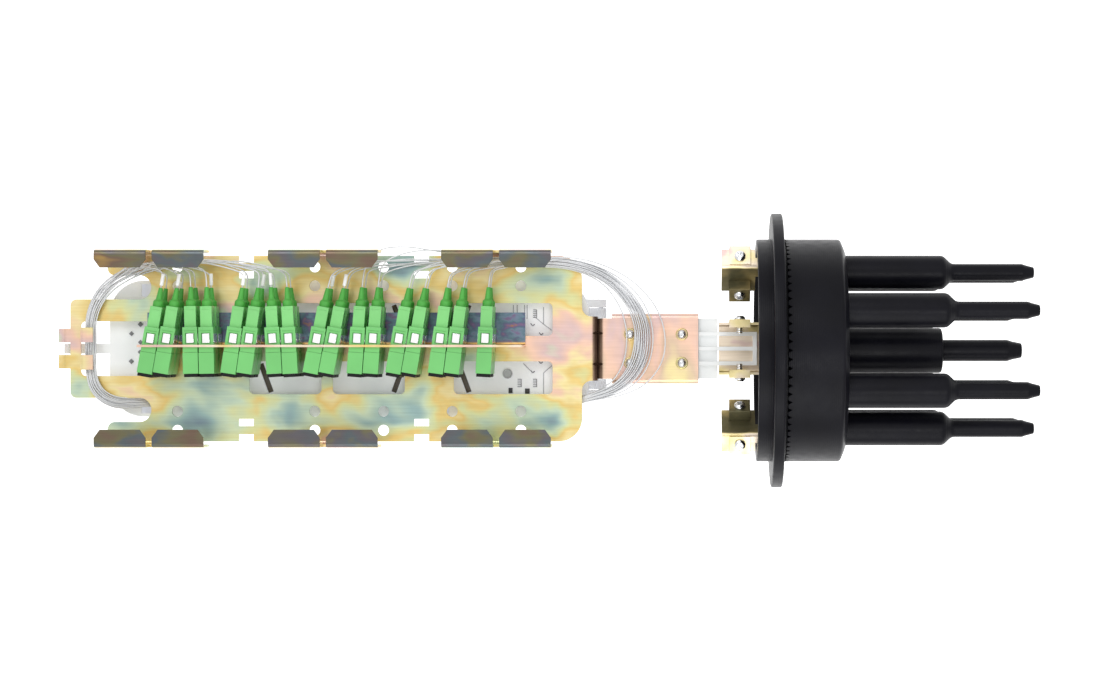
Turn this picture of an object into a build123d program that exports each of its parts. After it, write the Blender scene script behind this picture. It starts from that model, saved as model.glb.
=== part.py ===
from build123d import *
import os
from math import atan2, cos, pi, radians, sin, tan

# Fibre splice closure, opened, with its dome off. Millimetres.
# The origin is the centre of the base flange's sealing face. +X runs along the base axis to
# the tips of the cable ports, +Z is square to the adapter plate, and the trays hang below it.

# Base: one moulding about the X axis
SPIGOT_R = 71.0
SPIGOT_LENGTH = 9.3
FLANGE_R = 87.5
FLANGE_THICKNESS = 6.9
FLANGE_EDGE = 1.2
GROOVE_R = 67.5
GROOVE_XS = (7.4, 8.9)
DRUM_END = 43.6
NOSE_X = 46.6
NOSE_R = 64.0
CAVITY_R = 64.0
FLOOR_X = 40.5

# Cable ports: a wide stretch, a cone, a neck and a closed tip, hollow from the cavity side
PORT_RING_R = 53.1
PORT_ANGLES = (28, 68, 112, 152, 208, 248, 292, 332)
PORT_R = 10.75
PORT_NECK_R = 5.45
PORT_CONE = (108.0, 113.5)
PORT_NECK_END = 158.0
PORT_TIP = 165.5
PORT_TIP_R = 3.3
PORT_BORE_R = 7.25
PORT_BORE_END = 104.0
NECK_BORE_R = 3.0
NECK_BORE_END = 154.0
OVAL_WIDTH = 28.5
OVAL_HEIGHT = 62.0
OVAL_END = 107.5
OVAL_WALL = 3.5
OVAL_NECK_Z = 18.0
OVAL_NECK_R = 6.75
OVAL_NECK_END = 149.0
OVAL_TIP = 158.0

# Sheet steel and the common screw
SHEET = 1.5
BEND_R = 1.5
CENTRE_Y = 1.2
SCREW_R = 1.95
HEAD_R = 3.6
HEAD_SIDES = 12
SHANK_SIDES = 8
HEAD_HEIGHT = 2.4

# Adapter plate, its outline and its windows about the line y = CENTRE_Y
PLATE_TOP = -8.0
PLATE_LEFT = -426.4
PLATE_RIGHT = -121.1
PLATE_HALF = 59.8
PLATE_CORNER = 15.0
TONGUE_HALF = 20.7
SLOT_HALVES = (31.7, 47.2)
SLOT_END = -398.3
CROSS_LEFT = -450.4
CROSS_WIDTH = 6.7
LEFT_WINDOW_RIGHT = -392.6
LEFT_WINDOW_HALF = 17.6
WINDOW_SPANS = ((-335.2, -288.8), (-281.6, -235.2), (-203.7, -140.1))
WINDOW_HALVES = (8.2, 29.3)
WINDOW_CORNER = 3.2
HOLE_R = 3.5
HOLE_XS = (-381.5, -293.1, -248.9, -204.7, -160.5)
HOLE_YS = (40.4, 52.6)
TIE_SLOT_XS = (-337.2, -224.4)
TIE_SLOT = (9.6, 4.7)
TIE_SLOT_Y = 47.6
FINGER_HALVES = (4.0, 12.8)
HOOK_HALVES = (4.1, 13.5)
HOOK_TOP = 1.0
HOOK_END = -433.8

# Fibre wings: tabs of the plate, bent up and then inwards
WING_XS = (-392.1, -282.5, -173.6)
WING_LENGTH = 69.0
WING_OUTER = 62.5
WING_INNER = 51.0
WING_TOP = 27.0
WING_GAP = 4.0
WING_STEM = 28.0
WING_WAIST = 8.0
WING_SPLIT = 14.0
WING_SLANT = (4.5, 6.5)

# Joint between the plate and the channel: two flanges back to back
JOINT_X = -111.0
JOINT_DROP = 11.0
JOINT_BOLT_Y = 15.5
JOINT_BOLT_DROP = 7.0
DART_Y = 9.9
DART_SIDE = 3.6
DART_LENGTH = 12.0
JOINT_BEND = 2.0
JOINT_BOLT_R = 2.0
JOINT_NUT_R = 3.4
JOINT_HEAD = 2.8

# Channel bracket
CHANNEL_END = -46.3
CHANNEL_HALF = 22.6
CHANNEL_END_HALF = 19.5
CHANNEL_SIDE_START = -101.9
CHANNEL_DROP = 12.0
CHANNEL_SCREW_XS = (-90.2, -56.9)
CHANNEL_SCREW_Y = 9.25
CHANNEL_SHANK = 14.0

# Cradle: the white moulding that joins the channel to the base and carries the trays
CRADLE_LEFT = -106.0
CRADLE_RIGHT = -8.6
CRADLE_HALF = 19.4
CRADLE_BOTTOM = -26.0
CRADLE_BACK = -46.0
CRADLE_FLOOR_END = -34.0
CRADLE_FLOOR = 2.4
RIB_YS = (-9.5, 0.0, 9.5)
RIB_WIDTH = 2.6
RIB_TOP = -9.6
CRADLE_CELL = (15.4, 10.6)
CRADLE_CELL_DEPTH = 12.0
EAR_R = 4.6
EAR_HALVES = (13.0, 17.0)

# Inner bracket between the base and the cradle
WEB_TOP = -15.0
WEB_HALF = 16.7
WEB_LEFT = -33.0
CHEEK_TOP = 3.0
FOOT_Y = 26.0
FOOT_Z = -5.0
FOOT_MARGIN = 7.0

# Strength member clamps on the upper and lower brackets, as points (Y, Z) of the upper one
CLAMP_LEFT = -31.4
CLAMP_RIGHT = -9.9
CLAMP_RIDGE = (53.1, 10.0)
CLAMP_OUTER = (64.4, 6.0)
CLAMP_INNER = (38.4, -9.0)
CLAMP_STEM = ((47.2, 2.4), (59.0, 7.9))
CLAMP_FOOT = (44.0, 60.0, -9.5, 10.5)
SADDLE_X = -19.8
SADDLE_LENGTH = 13.5
SADDLE_REACH = 10.8
SADDLE_SHEET = 1.2
LIP_GAP = 0.25
LIP_DROP = 3.2
CLOSED_LIFT = 0.8
OPEN_LIFT = 6.5
CLAMP_SHANK = 8.0
CLAMP_FOOT_SCREW = (52.0, -3.0)
FOOT_SHANK = 5.5

# Adapter panel: an angle strip that stands on the plate
PANEL_LEFT = -400.5
PANEL_RIGHT = -157.6
PANEL_FACE_Y = 2.1
PANEL_LEG_Y = 24.4
PANEL_TOP = 22.6
CUTOUT_HEIGHT = 13.1
CUTOUT_PLAY = 1.0
PANEL_RIVET_XS = (-375.0, -349.0, -218.2)
PANEL_RIVET_Y = 13.0
RIVET_R = 1.6
RIVET_HEAD = 0.25
RIVET_FOOT = 1.0

# Adapters: the X of each one's middle at the panel, and each pair's tilt in the plate's plane
LAYER_ZS = {"lower": 0.4, "upper": 14.4}
ADAPTER_WIDTH = 9.3
ADAPTER_HEIGHT = 12.7
ADAPTER_YS = (-14.7, 14.8)
SHOULDER_Y = -1.3
MOUTH = (7.6, 9.2)
MOUTH_DEPTH = 11.0
CLIP_YS = (4.4, 10.8)
CLIP_OUTSIDE = (9.2, 12.6)
CLIP_INSIDE = (8.7, 12.0)
PAIRS = (
    (-388.3, 10.1, 9.6),
    (-362.2, 10.1, -1.3),
    (-335.9, 10.1, 8.3),
    (-310.0, 10.1, -3.2),
    (-283.3, 10.1, 10.8),
    (-257.3, 10.1, 4.3),
    (-231.3, 10.1, 9.9),
    (-205.2, 10.1, 7.4),
    (-181.3, 0.0, 3.1),
)

# Plugs, boots and dust plugs
PLUG_SECTION = (7.4, 9.0)
PLUG_YS = (6.5, 28.1)
BOOT_STRETCHES = ((28.12, 32.2, 3.3, 2.9), (32.2, 40.2, 2.45, 1.6))
BOOT_SIDES = 8
DUST_RIM = (8.7, 12.1, 2.1)
DUST_STEM = (7.3, 8.9, 7.0)

# Splice trays: mouldings that open downwards and swing down about their right ends
TRAY_TOPS = (-16.0, -29.0)
TRAY_LEFT = -427.0
TRAY_RIGHT = -117.0
TRAY_HALF = 44.0
TRAY_DEPTH = 11.5
TRAY_WALL = 1.8
TRAY_CORNER = 22.0
TRAY_LUG_ROOT = 3.2
DRUM_XS = (-372.0, -172.0)
WINDER_R = 24.0
COMB_SPAN = (-305.0, -239.0)
COMB_COUNT = 13
COMB_PITCH = 4.2
COMB_HEIGHT = 6.0
TAB_XS = (-400.0, -330.0, -272.0, -214.0, -145.0)
TAB_SIZE = (12.0, 9.0)
LID_SHEET = 1.6
LID_CLIP_XS = (-365.0, -180.0)
LID_CLIP = (14.0, 1.4, 1.6)
HINGE_1 = (-105.0, -27.0)
HINGE_2 = (-110.0, -35.0)
HINGE_PIN_R = 2.0
LINK_PIN_R = 1.5
PIN_PLAY = 0.06
LATCH_HALF = 3.2
LATCH_X = -453.0
LUG_LOW = -25.5
COMB_RIB = 1.4
TAB_SHEET = 1.2
SLANT_SLOTS = ((-326.0, 70), (-240.0, -70), (-198.0, 70))
SLANT_SIZE = (20.0, 3.6)
SLANT_Y = 19.0

# Fibre bundles as plain tubes: their routes, laid by hand
BUNDLE_R = 2.5
BUNDLE_SIDES = 8
LEFT_ROUTE = (
    (-292, 56.5, -5.4),
    (-322, 57.6, -5.0),
    (-352, 56.4, -5.4),
    (-380, 56.8, -5.0),
    (-404, 52.5, -4.6),
    (-424, 41, -4.2),
    (-433.6, 24, -4.6),
    (-437.4, 5, -4.2),
    (-436.4, -13, -4.8),
    (-430.6, -26.4, -4.8),
    (-421, -35.4, -5.6),
    (-410.5, -38.4, -9.0),
    (-400, -39, -12.5),
    (-385, -36.4, -13.0),
)
RIGHT_ROUTE = (
    (-276, 57, -5.4),
    (-246, 56, -5.0),
    (-216, 57.4, -5.4),
    (-184, 56.2, -5.0),
    (-152, 57.6, -5.2),
    (-126, 56.4, -4.4),
    (-105, 48, -3.8),
    (-89, 34, -4.4),
    (-80, 17, -4.8),
    (-79.5, -1, -4.6),
    (-86, -15, -4.4),
    (-97, -24.4, -5.6),
    (-110, -28.6, -10.4),
    (-123, -32.2, -13.2),
    (-136, -34.6, -13.4),
    (-148, -36.0, -13.0),
)

os.makedirs("parts", exist_ok=True)


def write(piece, name):
    piece.part.label = name
    export_step(piece.part, f"parts/{name}.step")


def folded(points, thickness=SHEET, radius=BEND_R):
    """Section of a folded sheet: one face follows the points, the other lies to their left,
    or to their right with a negative thickness."""
    near, far, near_r, far_r = [], [], [], []
    for i, (x, y) in enumerate(points):
        before = points[max(i - 1, 0)]
        after = points[min(i + 1, len(points) - 1)]
        a = atan2(y - before[1], x - before[0]) if i else None
        b = atan2(after[1] - y, after[0] - x) if i < len(points) - 1 else None
        a = b if a is None else a
        b = a if b is None else b
        half = (b - a + radians(180)) % radians(360) / 2 - radians(90)
        reach = thickness / cos(half)
        near.append((x, y))
        far.append((x - reach * sin(a + half), y + reach * cos(a + half)))
        if 0 < i < len(points) - 1:
            near_outside = (half > 0) == (thickness > 0)
            near_r.append(radius + abs(thickness) if near_outside else radius)
            far_r.append(radius if near_outside else radius + abs(thickness))
    with BuildSketch() as section:
        with BuildLine():
            FilletPolyline(*near, radius=near_r)
            FilletPolyline(*far, radius=far_r)
            Line(near[0], far[0])
            Line(near[-1], far[-1])
        make_face()
    return section.sketch


def screw(seat, shank):
    """A pan head screw: its head stands on the seat plane, its shank runs down below it."""
    with BuildPart() as one:
        with BuildSketch(Plane.XY):
            RegularPolygon(HEAD_R, HEAD_SIDES)
        extrude(amount=HEAD_HEIGHT)
        chamfer(one.faces().sort_by(Axis.Z)[-1].edges(), HEAD_HEIGHT * 0.45)
        with BuildSketch(Plane.XY):
            RegularPolygon(SCREW_R, SHANK_SIDES)
        extrude(amount=-shank)
    return seat.location * one.part


# Base body: drum, flange and spigot turned as one, the ports added and hollowed
with BuildPart() as base_body:
    with BuildSketch(Plane.XZ):
        with BuildLine():
            Polyline(
                (-SPIGOT_LENGTH, CAVITY_R),
                (-SPIGOT_LENGTH, SPIGOT_R),
                (0, SPIGOT_R),
                (0, FLANGE_R),
                (FLANGE_THICKNESS, FLANGE_R),
                (FLANGE_THICKNESS, SPIGOT_R),
                (GROOVE_XS[0], SPIGOT_R),
                (GROOVE_XS[0], GROOVE_R),
                (GROOVE_XS[1], GROOVE_R),
                (GROOVE_XS[1], SPIGOT_R),
                (DRUM_END, SPIGOT_R),
                (NOSE_X, NOSE_R),
                (NOSE_X, 0),
                (FLOOR_X, 0),
                (FLOOR_X, CAVITY_R),
                (-SPIGOT_LENGTH, CAVITY_R),
            )
        make_face()
    revolve(axis=Axis.X)
    rim = base_body.edges().filter_by(GeomType.CIRCLE)
    chamfer(rim.filter_by(lambda e: abs(e.radius - FLANGE_R) < 0.01), FLANGE_EDGE)
    for angle in PORT_ANGLES:
        y = PORT_RING_R * sin(radians(angle))
        z = PORT_RING_R * cos(radians(angle))
        with BuildSketch(Plane((0, y, z), x_dir=(1, 0, 0), z_dir=(0, -1, 0))):
            with BuildLine():
                Polyline(
                    (FLOOR_X + 1, 0),
                    (FLOOR_X + 1, PORT_R),
                    (PORT_CONE[0], PORT_R),
                    (PORT_CONE[1], PORT_NECK_R),
                    (PORT_NECK_END, PORT_NECK_R),
                    (PORT_TIP, PORT_TIP_R),
                    (PORT_TIP, 0),
                    close=True,
                )
            make_face()
        revolve(axis=Axis((0, y, z), (1, 0, 0)))
    with BuildSketch(Plane.YZ.offset(FLOOR_X + 1)):
        SlotOverall(OVAL_HEIGHT, OVAL_WIDTH, rotation=90)
    extrude(amount=OVAL_END - FLOOR_X - 1)
    for z in (-OVAL_NECK_Z, OVAL_NECK_Z):
        with BuildSketch(Plane((0, 0, z), x_dir=(1, 0, 0), z_dir=(0, -1, 0))):
            with BuildLine():
                Polyline(
                    (OVAL_END - 1, 0),
                    (OVAL_END - 1, OVAL_NECK_R + 0.6),
                    (OVAL_END + 2, OVAL_NECK_R),
                    (OVAL_NECK_END, OVAL_NECK_R),
                    (OVAL_TIP, OVAL_NECK_R - 2.2),
                    (OVAL_TIP, 0),
                    close=True,
                )
            make_face()
        revolve(axis=Axis((0, 0, z), (1, 0, 0)))
    for angle in PORT_ANGLES:
        y = PORT_RING_R * sin(radians(angle))
        z = PORT_RING_R * cos(radians(angle))
        with BuildSketch(Plane.YZ.offset(FLOOR_X)):
            with Locations((y, z)):
                Circle(PORT_BORE_R)
        extrude(amount=PORT_BORE_END - FLOOR_X, mode=Mode.SUBTRACT)
        with BuildSketch(Plane.YZ.offset(PORT_BORE_END)):
            with Locations((y, z)):
                Circle(NECK_BORE_R)
        extrude(amount=NECK_BORE_END - PORT_BORE_END, mode=Mode.SUBTRACT)
    with BuildSketch(Plane.YZ.offset(FLOOR_X)):
        SlotOverall(OVAL_HEIGHT - 2 * OVAL_WALL, OVAL_WIDTH - 2 * OVAL_WALL, rotation=90)
    extrude(amount=PORT_BORE_END - FLOOR_X, mode=Mode.SUBTRACT)
    with BuildSketch(Plane.YZ.offset(FLOOR_X)):
        with Locations((FOOT_Y, FOOT_Z), (-FOOT_Y, FOOT_Z), CLAMP_FOOT_SCREW,
                       (-CLAMP_FOOT_SCREW[0], CLAMP_FOOT_SCREW[1])):
            Circle(SCREW_R)
    extrude(amount=NOSE_X - FLOOR_X - 1.5, mode=Mode.SUBTRACT)
write(base_body, "base_body")

# Inner bracket: a channel from the cavity floor to the cradle, with two feet turned out
with BuildPart() as inner_bracket:
    with BuildSketch(Plane.YZ.offset(WEB_LEFT)):
        channel = (
            (CENTRE_Y - WEB_HALF, CHEEK_TOP),
            (CENTRE_Y - WEB_HALF, WEB_TOP - SHEET),
            (CENTRE_Y + WEB_HALF, WEB_TOP - SHEET),
            (CENTRE_Y + WEB_HALF, CHEEK_TOP),
        )
        add(folded(channel))
    extrude(amount=FLOOR_X - WEB_LEFT - 0.1)
    for side in (-1, 1):
        inner = CENTRE_Y + side * WEB_HALF
        outer = side * (FOOT_Y + FOOT_MARGIN)
        with BuildSketch(Plane.YZ.offset(FLOOR_X - 0.1)):
            with Locations(((inner + outer) / 2, FOOT_Z)):
                Rectangle(abs(outer - inner) + 0.2, 2 * FOOT_MARGIN)
        extrude(amount=-SHEET)
    with BuildSketch(Plane.YZ.offset(FLOOR_X)):
        with Locations((FOOT_Y, FOOT_Z), (-FOOT_Y, FOOT_Z)):
            Circle(SCREW_R + 0.1)
    extrude(amount=-3 * SHEET, mode=Mode.SUBTRACT)
    with BuildSketch(Plane.XZ):
        with Locations((SADDLE_X, CHEEK_TOP - SADDLE_REACH / 2)):
            Circle(SCREW_R + 0.1)
    extrude(amount=2 * WEB_HALF, both=True, mode=Mode.SUBTRACT)
write(inner_bracket, "inner_bracket")


def clamp_plane(ridge, edge, x):
    """The plane on a clamp face at its free edge, with local x to the edge side."""
    out = Vector(0, edge[0] - ridge[0], edge[1] - ridge[1]).normalized()
    lift = Vector(1, 0, 0).cross(out)
    if lift.Z < 0:
        lift = lift * -1
    return Plane((x, edge[0], edge[1]), x_dir=out, z_dir=lift)


# Upper and lower clamp brackets: a roof of sheet whose stem reaches the cavity floor
with BuildPart() as clamp_bracket_upper:
    with BuildSketch(Plane.YZ.offset(CLAMP_LEFT)):
        add(folded((CLAMP_OUTER, CLAMP_RIDGE, CLAMP_INNER)))
    extrude(amount=CLAMP_RIGHT - CLAMP_LEFT)
    with BuildSketch(Plane.YZ.offset(CLAMP_RIGHT)):
        add(folded((CLAMP_STEM[1], CLAMP_RIDGE, CLAMP_STEM[0])))
    extrude(amount=FLOOR_X - 0.1 - CLAMP_RIGHT)
    low_y, high_y, low_z, high_z = CLAMP_FOOT
    with BuildSketch(Plane.YZ.offset(FLOOR_X - 0.1)):
        with Locations(((low_y + high_y) / 2, (low_z + high_z) / 2)):
            RectangleRounded(high_y - low_y, high_z - low_z, 3)
    extrude(amount=-SHEET)
    with BuildSketch(Plane.YZ.offset(FLOOR_X)):
        with Locations(CLAMP_FOOT_SCREW):
            Circle(SCREW_R + 0.1)
    extrude(amount=-2 * SHEET, mode=Mode.SUBTRACT)
    for edge in (CLAMP_OUTER, CLAMP_INNER):
        with BuildSketch(clamp_plane(CLAMP_RIDGE, edge, SADDLE_X)):
            with Locations((-SADDLE_REACH / 2, 0)):
                Circle(SCREW_R + 0.1)
        extrude(amount=3 * SHEET, both=True, mode=Mode.SUBTRACT)
write(clamp_bracket_upper, "clamp_bracket_upper")

with BuildPart() as clamp_bracket_lower:
    add(mirror(clamp_bracket_upper.part, about=Plane.XZ))
write(clamp_bracket_lower, "clamp_bracket_lower")


# Saddles of the six clamps: each saddle's lip hooks over its face's free edge
def saddle(face, lift):
    """A clamp saddle: its web lies a lift above the face, its lip passes the free edge."""
    side = Plane(face.origin - face.y_dir * SADDLE_LENGTH / 2, x_dir=face.x_dir, z_dir=face.y_dir)
    up = 1 if side.y_dir.dot(face.z_dir) > 0 else -1
    with BuildPart() as one:
        with BuildSketch(side):
            with BuildLine():
                Polyline(
                    (-SADDLE_REACH, 0.05 * up),
                    (-SADDLE_REACH, (lift + SADDLE_SHEET) * up),
                    (LIP_GAP + SADDLE_SHEET, (lift + SADDLE_SHEET) * up),
                    (LIP_GAP + SADDLE_SHEET, -LIP_DROP * up),
                    (LIP_GAP, -LIP_DROP * up),
                    (LIP_GAP, lift * up),
                    (SADDLE_SHEET - SADDLE_REACH, lift * up),
                    (SADDLE_SHEET - SADDLE_REACH, 0.05 * up),
                    close=True,
                )
            make_face()
        extrude(amount=SADDLE_LENGTH)
        with BuildSketch(face):
            with Locations((-SADDLE_REACH / 2, 0)):
                Circle(SCREW_R + 0.1)
        extrude(amount=2 * (lift + SADDLE_SHEET), mode=Mode.SUBTRACT)
    return one.part


cheek_faces = [
    Plane((SADDLE_X, CENTRE_Y + side * WEB_HALF, CHEEK_TOP), x_dir=(0, 0, 1), z_dir=(0, side, 0))
    for side in (-1, 1)
]
roof_faces = [clamp_plane(CLAMP_RIDGE, edge, SADDLE_X) for edge in (CLAMP_OUTER, CLAMP_INNER)]
LIFTS = (CLOSED_LIFT, CLOSED_LIFT, CLOSED_LIFT, OPEN_LIFT)

with BuildPart() as clamp_saddles:
    for face, lift in zip(cheek_faces + roof_faces, LIFTS):
        add(saddle(face, lift))
    for face, lift in zip(roof_faces, LIFTS[2:]):
        add(mirror(saddle(face, lift), about=Plane.XZ))
write(clamp_saddles, "clamp_saddles")

# Screws of the brackets: one through each saddle, and four that hold the feet to the floor
with BuildPart() as bracket_screws:
    for face, lift in zip(cheek_faces + roof_faces, LIFTS):
        seat = face.origin - face.x_dir * SADDLE_REACH / 2
        seat = seat + face.z_dir * (lift + SADDLE_SHEET)
        shank = lift + SADDLE_SHEET + CLAMP_SHANK
        one = screw(Plane(seat, x_dir=(1, 0, 0), z_dir=face.z_dir), shank)
        add(one)
        if face in roof_faces:
            add(mirror(one, about=Plane.XZ))
    for y, z in ((FOOT_Y, FOOT_Z), (-FOOT_Y, FOOT_Z), CLAMP_FOOT_SCREW,
                 (-CLAMP_FOOT_SCREW[0], CLAMP_FOOT_SCREW[1])):
        seat = Plane((FLOOR_X - 0.1 - SHEET, y, z), x_dir=(0, 1, 0), z_dir=(-1, 0, 0))
        add(screw(seat, FOOT_SHANK))
write(bracket_screws, "bracket_screws")

# Cradle: a ribbed arm over the bracket's web, a block under the channel, ears for the hinge
with BuildPart() as cradle:
    with BuildSketch(Plane.XY.offset(PLATE_TOP - SHEET - 0.1)):
        with Locations(((CRADLE_LEFT + CRADLE_BACK) / 2 + 4, CENTRE_Y)):
            Rectangle(CRADLE_BACK - CRADLE_LEFT - 8, 2 * CRADLE_HALF)
    extrude(amount=CRADLE_BOTTOM - PLATE_TOP + SHEET + 0.1)
    with BuildSketch(Plane.XY.offset(CRADLE_BOTTOM)):
        with GridLocations(CRADLE_CELL[0] + CRADLE_FLOOR, CRADLE_CELL[1] + CRADLE_FLOOR, 3, 3):
            with Locations(((CRADLE_LEFT + CRADLE_BACK) / 2 + 4, CENTRE_Y)):
                Rectangle(*CRADLE_CELL)
    extrude(amount=CRADLE_CELL_DEPTH, mode=Mode.SUBTRACT)
    with BuildSketch(Plane.XY.offset(WEB_TOP + 0.1)):
        with Locations(((CRADLE_BACK + CRADLE_FLOOR_END) / 2, CENTRE_Y)):
            Rectangle(CRADLE_FLOOR_END - CRADLE_BACK + 0.2, 2 * CRADLE_HALF)
    extrude(amount=CRADLE_FLOOR)
    with BuildSketch(Plane.XY.offset(WEB_TOP + 0.1)):
        for y in RIB_YS:
            with Locations(((CRADLE_BACK + CRADLE_RIGHT) / 2, CENTRE_Y + y)):
                Rectangle(CRADLE_RIGHT - CRADLE_BACK + 0.2, RIB_WIDTH)
        with Locations((CRADLE_RIGHT - RIB_WIDTH / 2, CENTRE_Y)):
            Rectangle(RIB_WIDTH, 2 * RIB_YS[-1])
    extrude(amount=RIB_TOP - WEB_TOP - 0.1)
    for side in (-1, 1):
        low, high = EAR_HALVES
        with BuildSketch(Plane.XZ.offset(-(CENTRE_Y + side * (low + high) / 2))):
            with BuildLine():
                Polyline(
                    (CRADLE_LEFT + 9, CRADLE_BOTTOM),
                    (CRADLE_LEFT + 9, PLATE_TOP - SHEET - 0.1),
                    (CRADLE_LEFT + 2.5, HINGE_1[1] + 7),
                    (HINGE_1[0] - EAR_R, HINGE_1[1]),
                    (HINGE_1[0] - EAR_R * 0.7, HINGE_1[1] - EAR_R * 0.7),
                    (HINGE_1[0], HINGE_1[1] - EAR_R),
                    close=True,
                )
            make_face()
        extrude(amount=(high - low) / 2, both=True)
    with BuildSketch(Plane.XZ):
        with Locations(HINGE_1):
            Circle(HINGE_PIN_R + PIN_PLAY)
    extrude(amount=2 * CRADLE_HALF, both=True, mode=Mode.SUBTRACT)
    with BuildSketch(Plane.XY.offset(PLATE_TOP)):
        with Locations(*[(x, CENTRE_Y + y) for x in CHANNEL_SCREW_XS
                         for y in (-CHANNEL_SCREW_Y, CHANNEL_SCREW_Y)]):
            Circle(SCREW_R + 0.05)
    extrude(amount=CRADLE_BOTTOM - PLATE_TOP - 1, mode=Mode.SUBTRACT)
write(cradle, "cradle")

with BuildPart() as tray_hinge_pin:
    with BuildSketch(Plane.XZ.offset(-CENTRE_Y)):
        with Locations(HINGE_1):
            Circle(HINGE_PIN_R)
    extrude(amount=EAR_HALVES[1], both=True)
write(tray_hinge_pin, "tray_hinge_pin")


def darts(x, side):
    """Two grooves across a bend, each running at 45 degrees to the two faces."""
    run = Plane((x, CENTRE_Y, PLATE_TOP), x_dir=(0, 1, 0), z_dir=(side, 0, 1))
    with BuildPart() as one:
        with BuildSketch(run.offset(-DART_LENGTH / 2)):
            with Locations((-DART_Y, 0), (DART_Y, 0)):
                Rectangle(DART_SIDE, DART_SIDE, rotation=45)
        extrude(amount=DART_LENGTH)
    return one.part


# Channel bracket: its end is bent down to meet the plate, its long edges stiffen it
with BuildPart() as channel_bracket:
    with BuildSketch(Plane.XZ.offset(-(CENTRE_Y + CHANNEL_END_HALF))):
        add(folded(((JOINT_X, PLATE_TOP - JOINT_DROP), (JOINT_X, PLATE_TOP),
                    (CHANNEL_SIDE_START + 0.5, PLATE_TOP)), thickness=-SHEET, radius=JOINT_BEND))
    extrude(amount=2 * CHANNEL_END_HALF)
    with BuildSketch(Plane.YZ.offset(CHANNEL_SIDE_START)):
        add(folded((
            (CENTRE_Y + CHANNEL_HALF, PLATE_TOP - CHANNEL_DROP),
            (CENTRE_Y + CHANNEL_HALF, PLATE_TOP),
            (CENTRE_Y - CHANNEL_HALF, PLATE_TOP),
            (CENTRE_Y - CHANNEL_HALF, PLATE_TOP - CHANNEL_DROP),
        )))
    extrude(amount=CHANNEL_END - CHANNEL_SIDE_START)
    add(darts(JOINT_X, 1), mode=Mode.SUBTRACT)
    with BuildSketch(Plane.XY.offset(PLATE_TOP)):
        with Locations(*[(x, CENTRE_Y + y) for x in CHANNEL_SCREW_XS
                         for y in (-CHANNEL_SCREW_Y, CHANNEL_SCREW_Y)]):
            Circle(SCREW_R + 0.1)
    extrude(amount=-2 * SHEET, mode=Mode.SUBTRACT)
    with BuildSketch(Plane.YZ.offset(JOINT_X)):
        with Locations((CENTRE_Y - JOINT_BOLT_Y, PLATE_TOP - JOINT_BOLT_DROP),
                       (CENTRE_Y + JOINT_BOLT_Y, PLATE_TOP - JOINT_BOLT_DROP)):
            Circle(JOINT_BOLT_R + 0.1)
    extrude(amount=2 * SHEET, mode=Mode.SUBTRACT)
write(channel_bracket, "channel_bracket")

with BuildPart() as channel_screws:
    for x in CHANNEL_SCREW_XS:
        for y in (-CHANNEL_SCREW_Y, CHANNEL_SCREW_Y):
            add(screw(Plane((x, CENTRE_Y + y, PLATE_TOP)), CHANNEL_SHANK))
write(channel_screws, "channel_screws")

# Bolts and nuts of the joint between plate and channel
with BuildPart() as joint_bolts:
    for y in (CENTRE_Y - JOINT_BOLT_Y, CENTRE_Y + JOINT_BOLT_Y):
        z = PLATE_TOP - JOINT_BOLT_DROP
        with BuildSketch(Plane.YZ.offset(JOINT_X - SHEET)):
            with Locations((y, z)):
                RegularPolygon(JOINT_NUT_R, 6, rotation=30)
        extrude(amount=-JOINT_HEAD)
        with BuildSketch(Plane.YZ.offset(JOINT_X - SHEET)):
            with Locations((y, z)):
                Circle(JOINT_BOLT_R)
        extrude(amount=2 * SHEET + JOINT_HEAD + 0.6)
write(joint_bolts, "joint_bolts")

with BuildPart() as joint_nuts:
    for y in (CENTRE_Y - JOINT_BOLT_Y, CENTRE_Y + JOINT_BOLT_Y):
        with BuildSketch(Plane.YZ.offset(JOINT_X + SHEET)):
            with Locations((y, PLATE_TOP - JOINT_BOLT_DROP)):
                RegularPolygon(JOINT_NUT_R, 6, rotation=30)
                Circle(JOINT_BOLT_R + 0.05, mode=Mode.SUBTRACT)
        extrude(amount=JOINT_HEAD)
write(joint_nuts, "joint_nuts")

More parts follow.
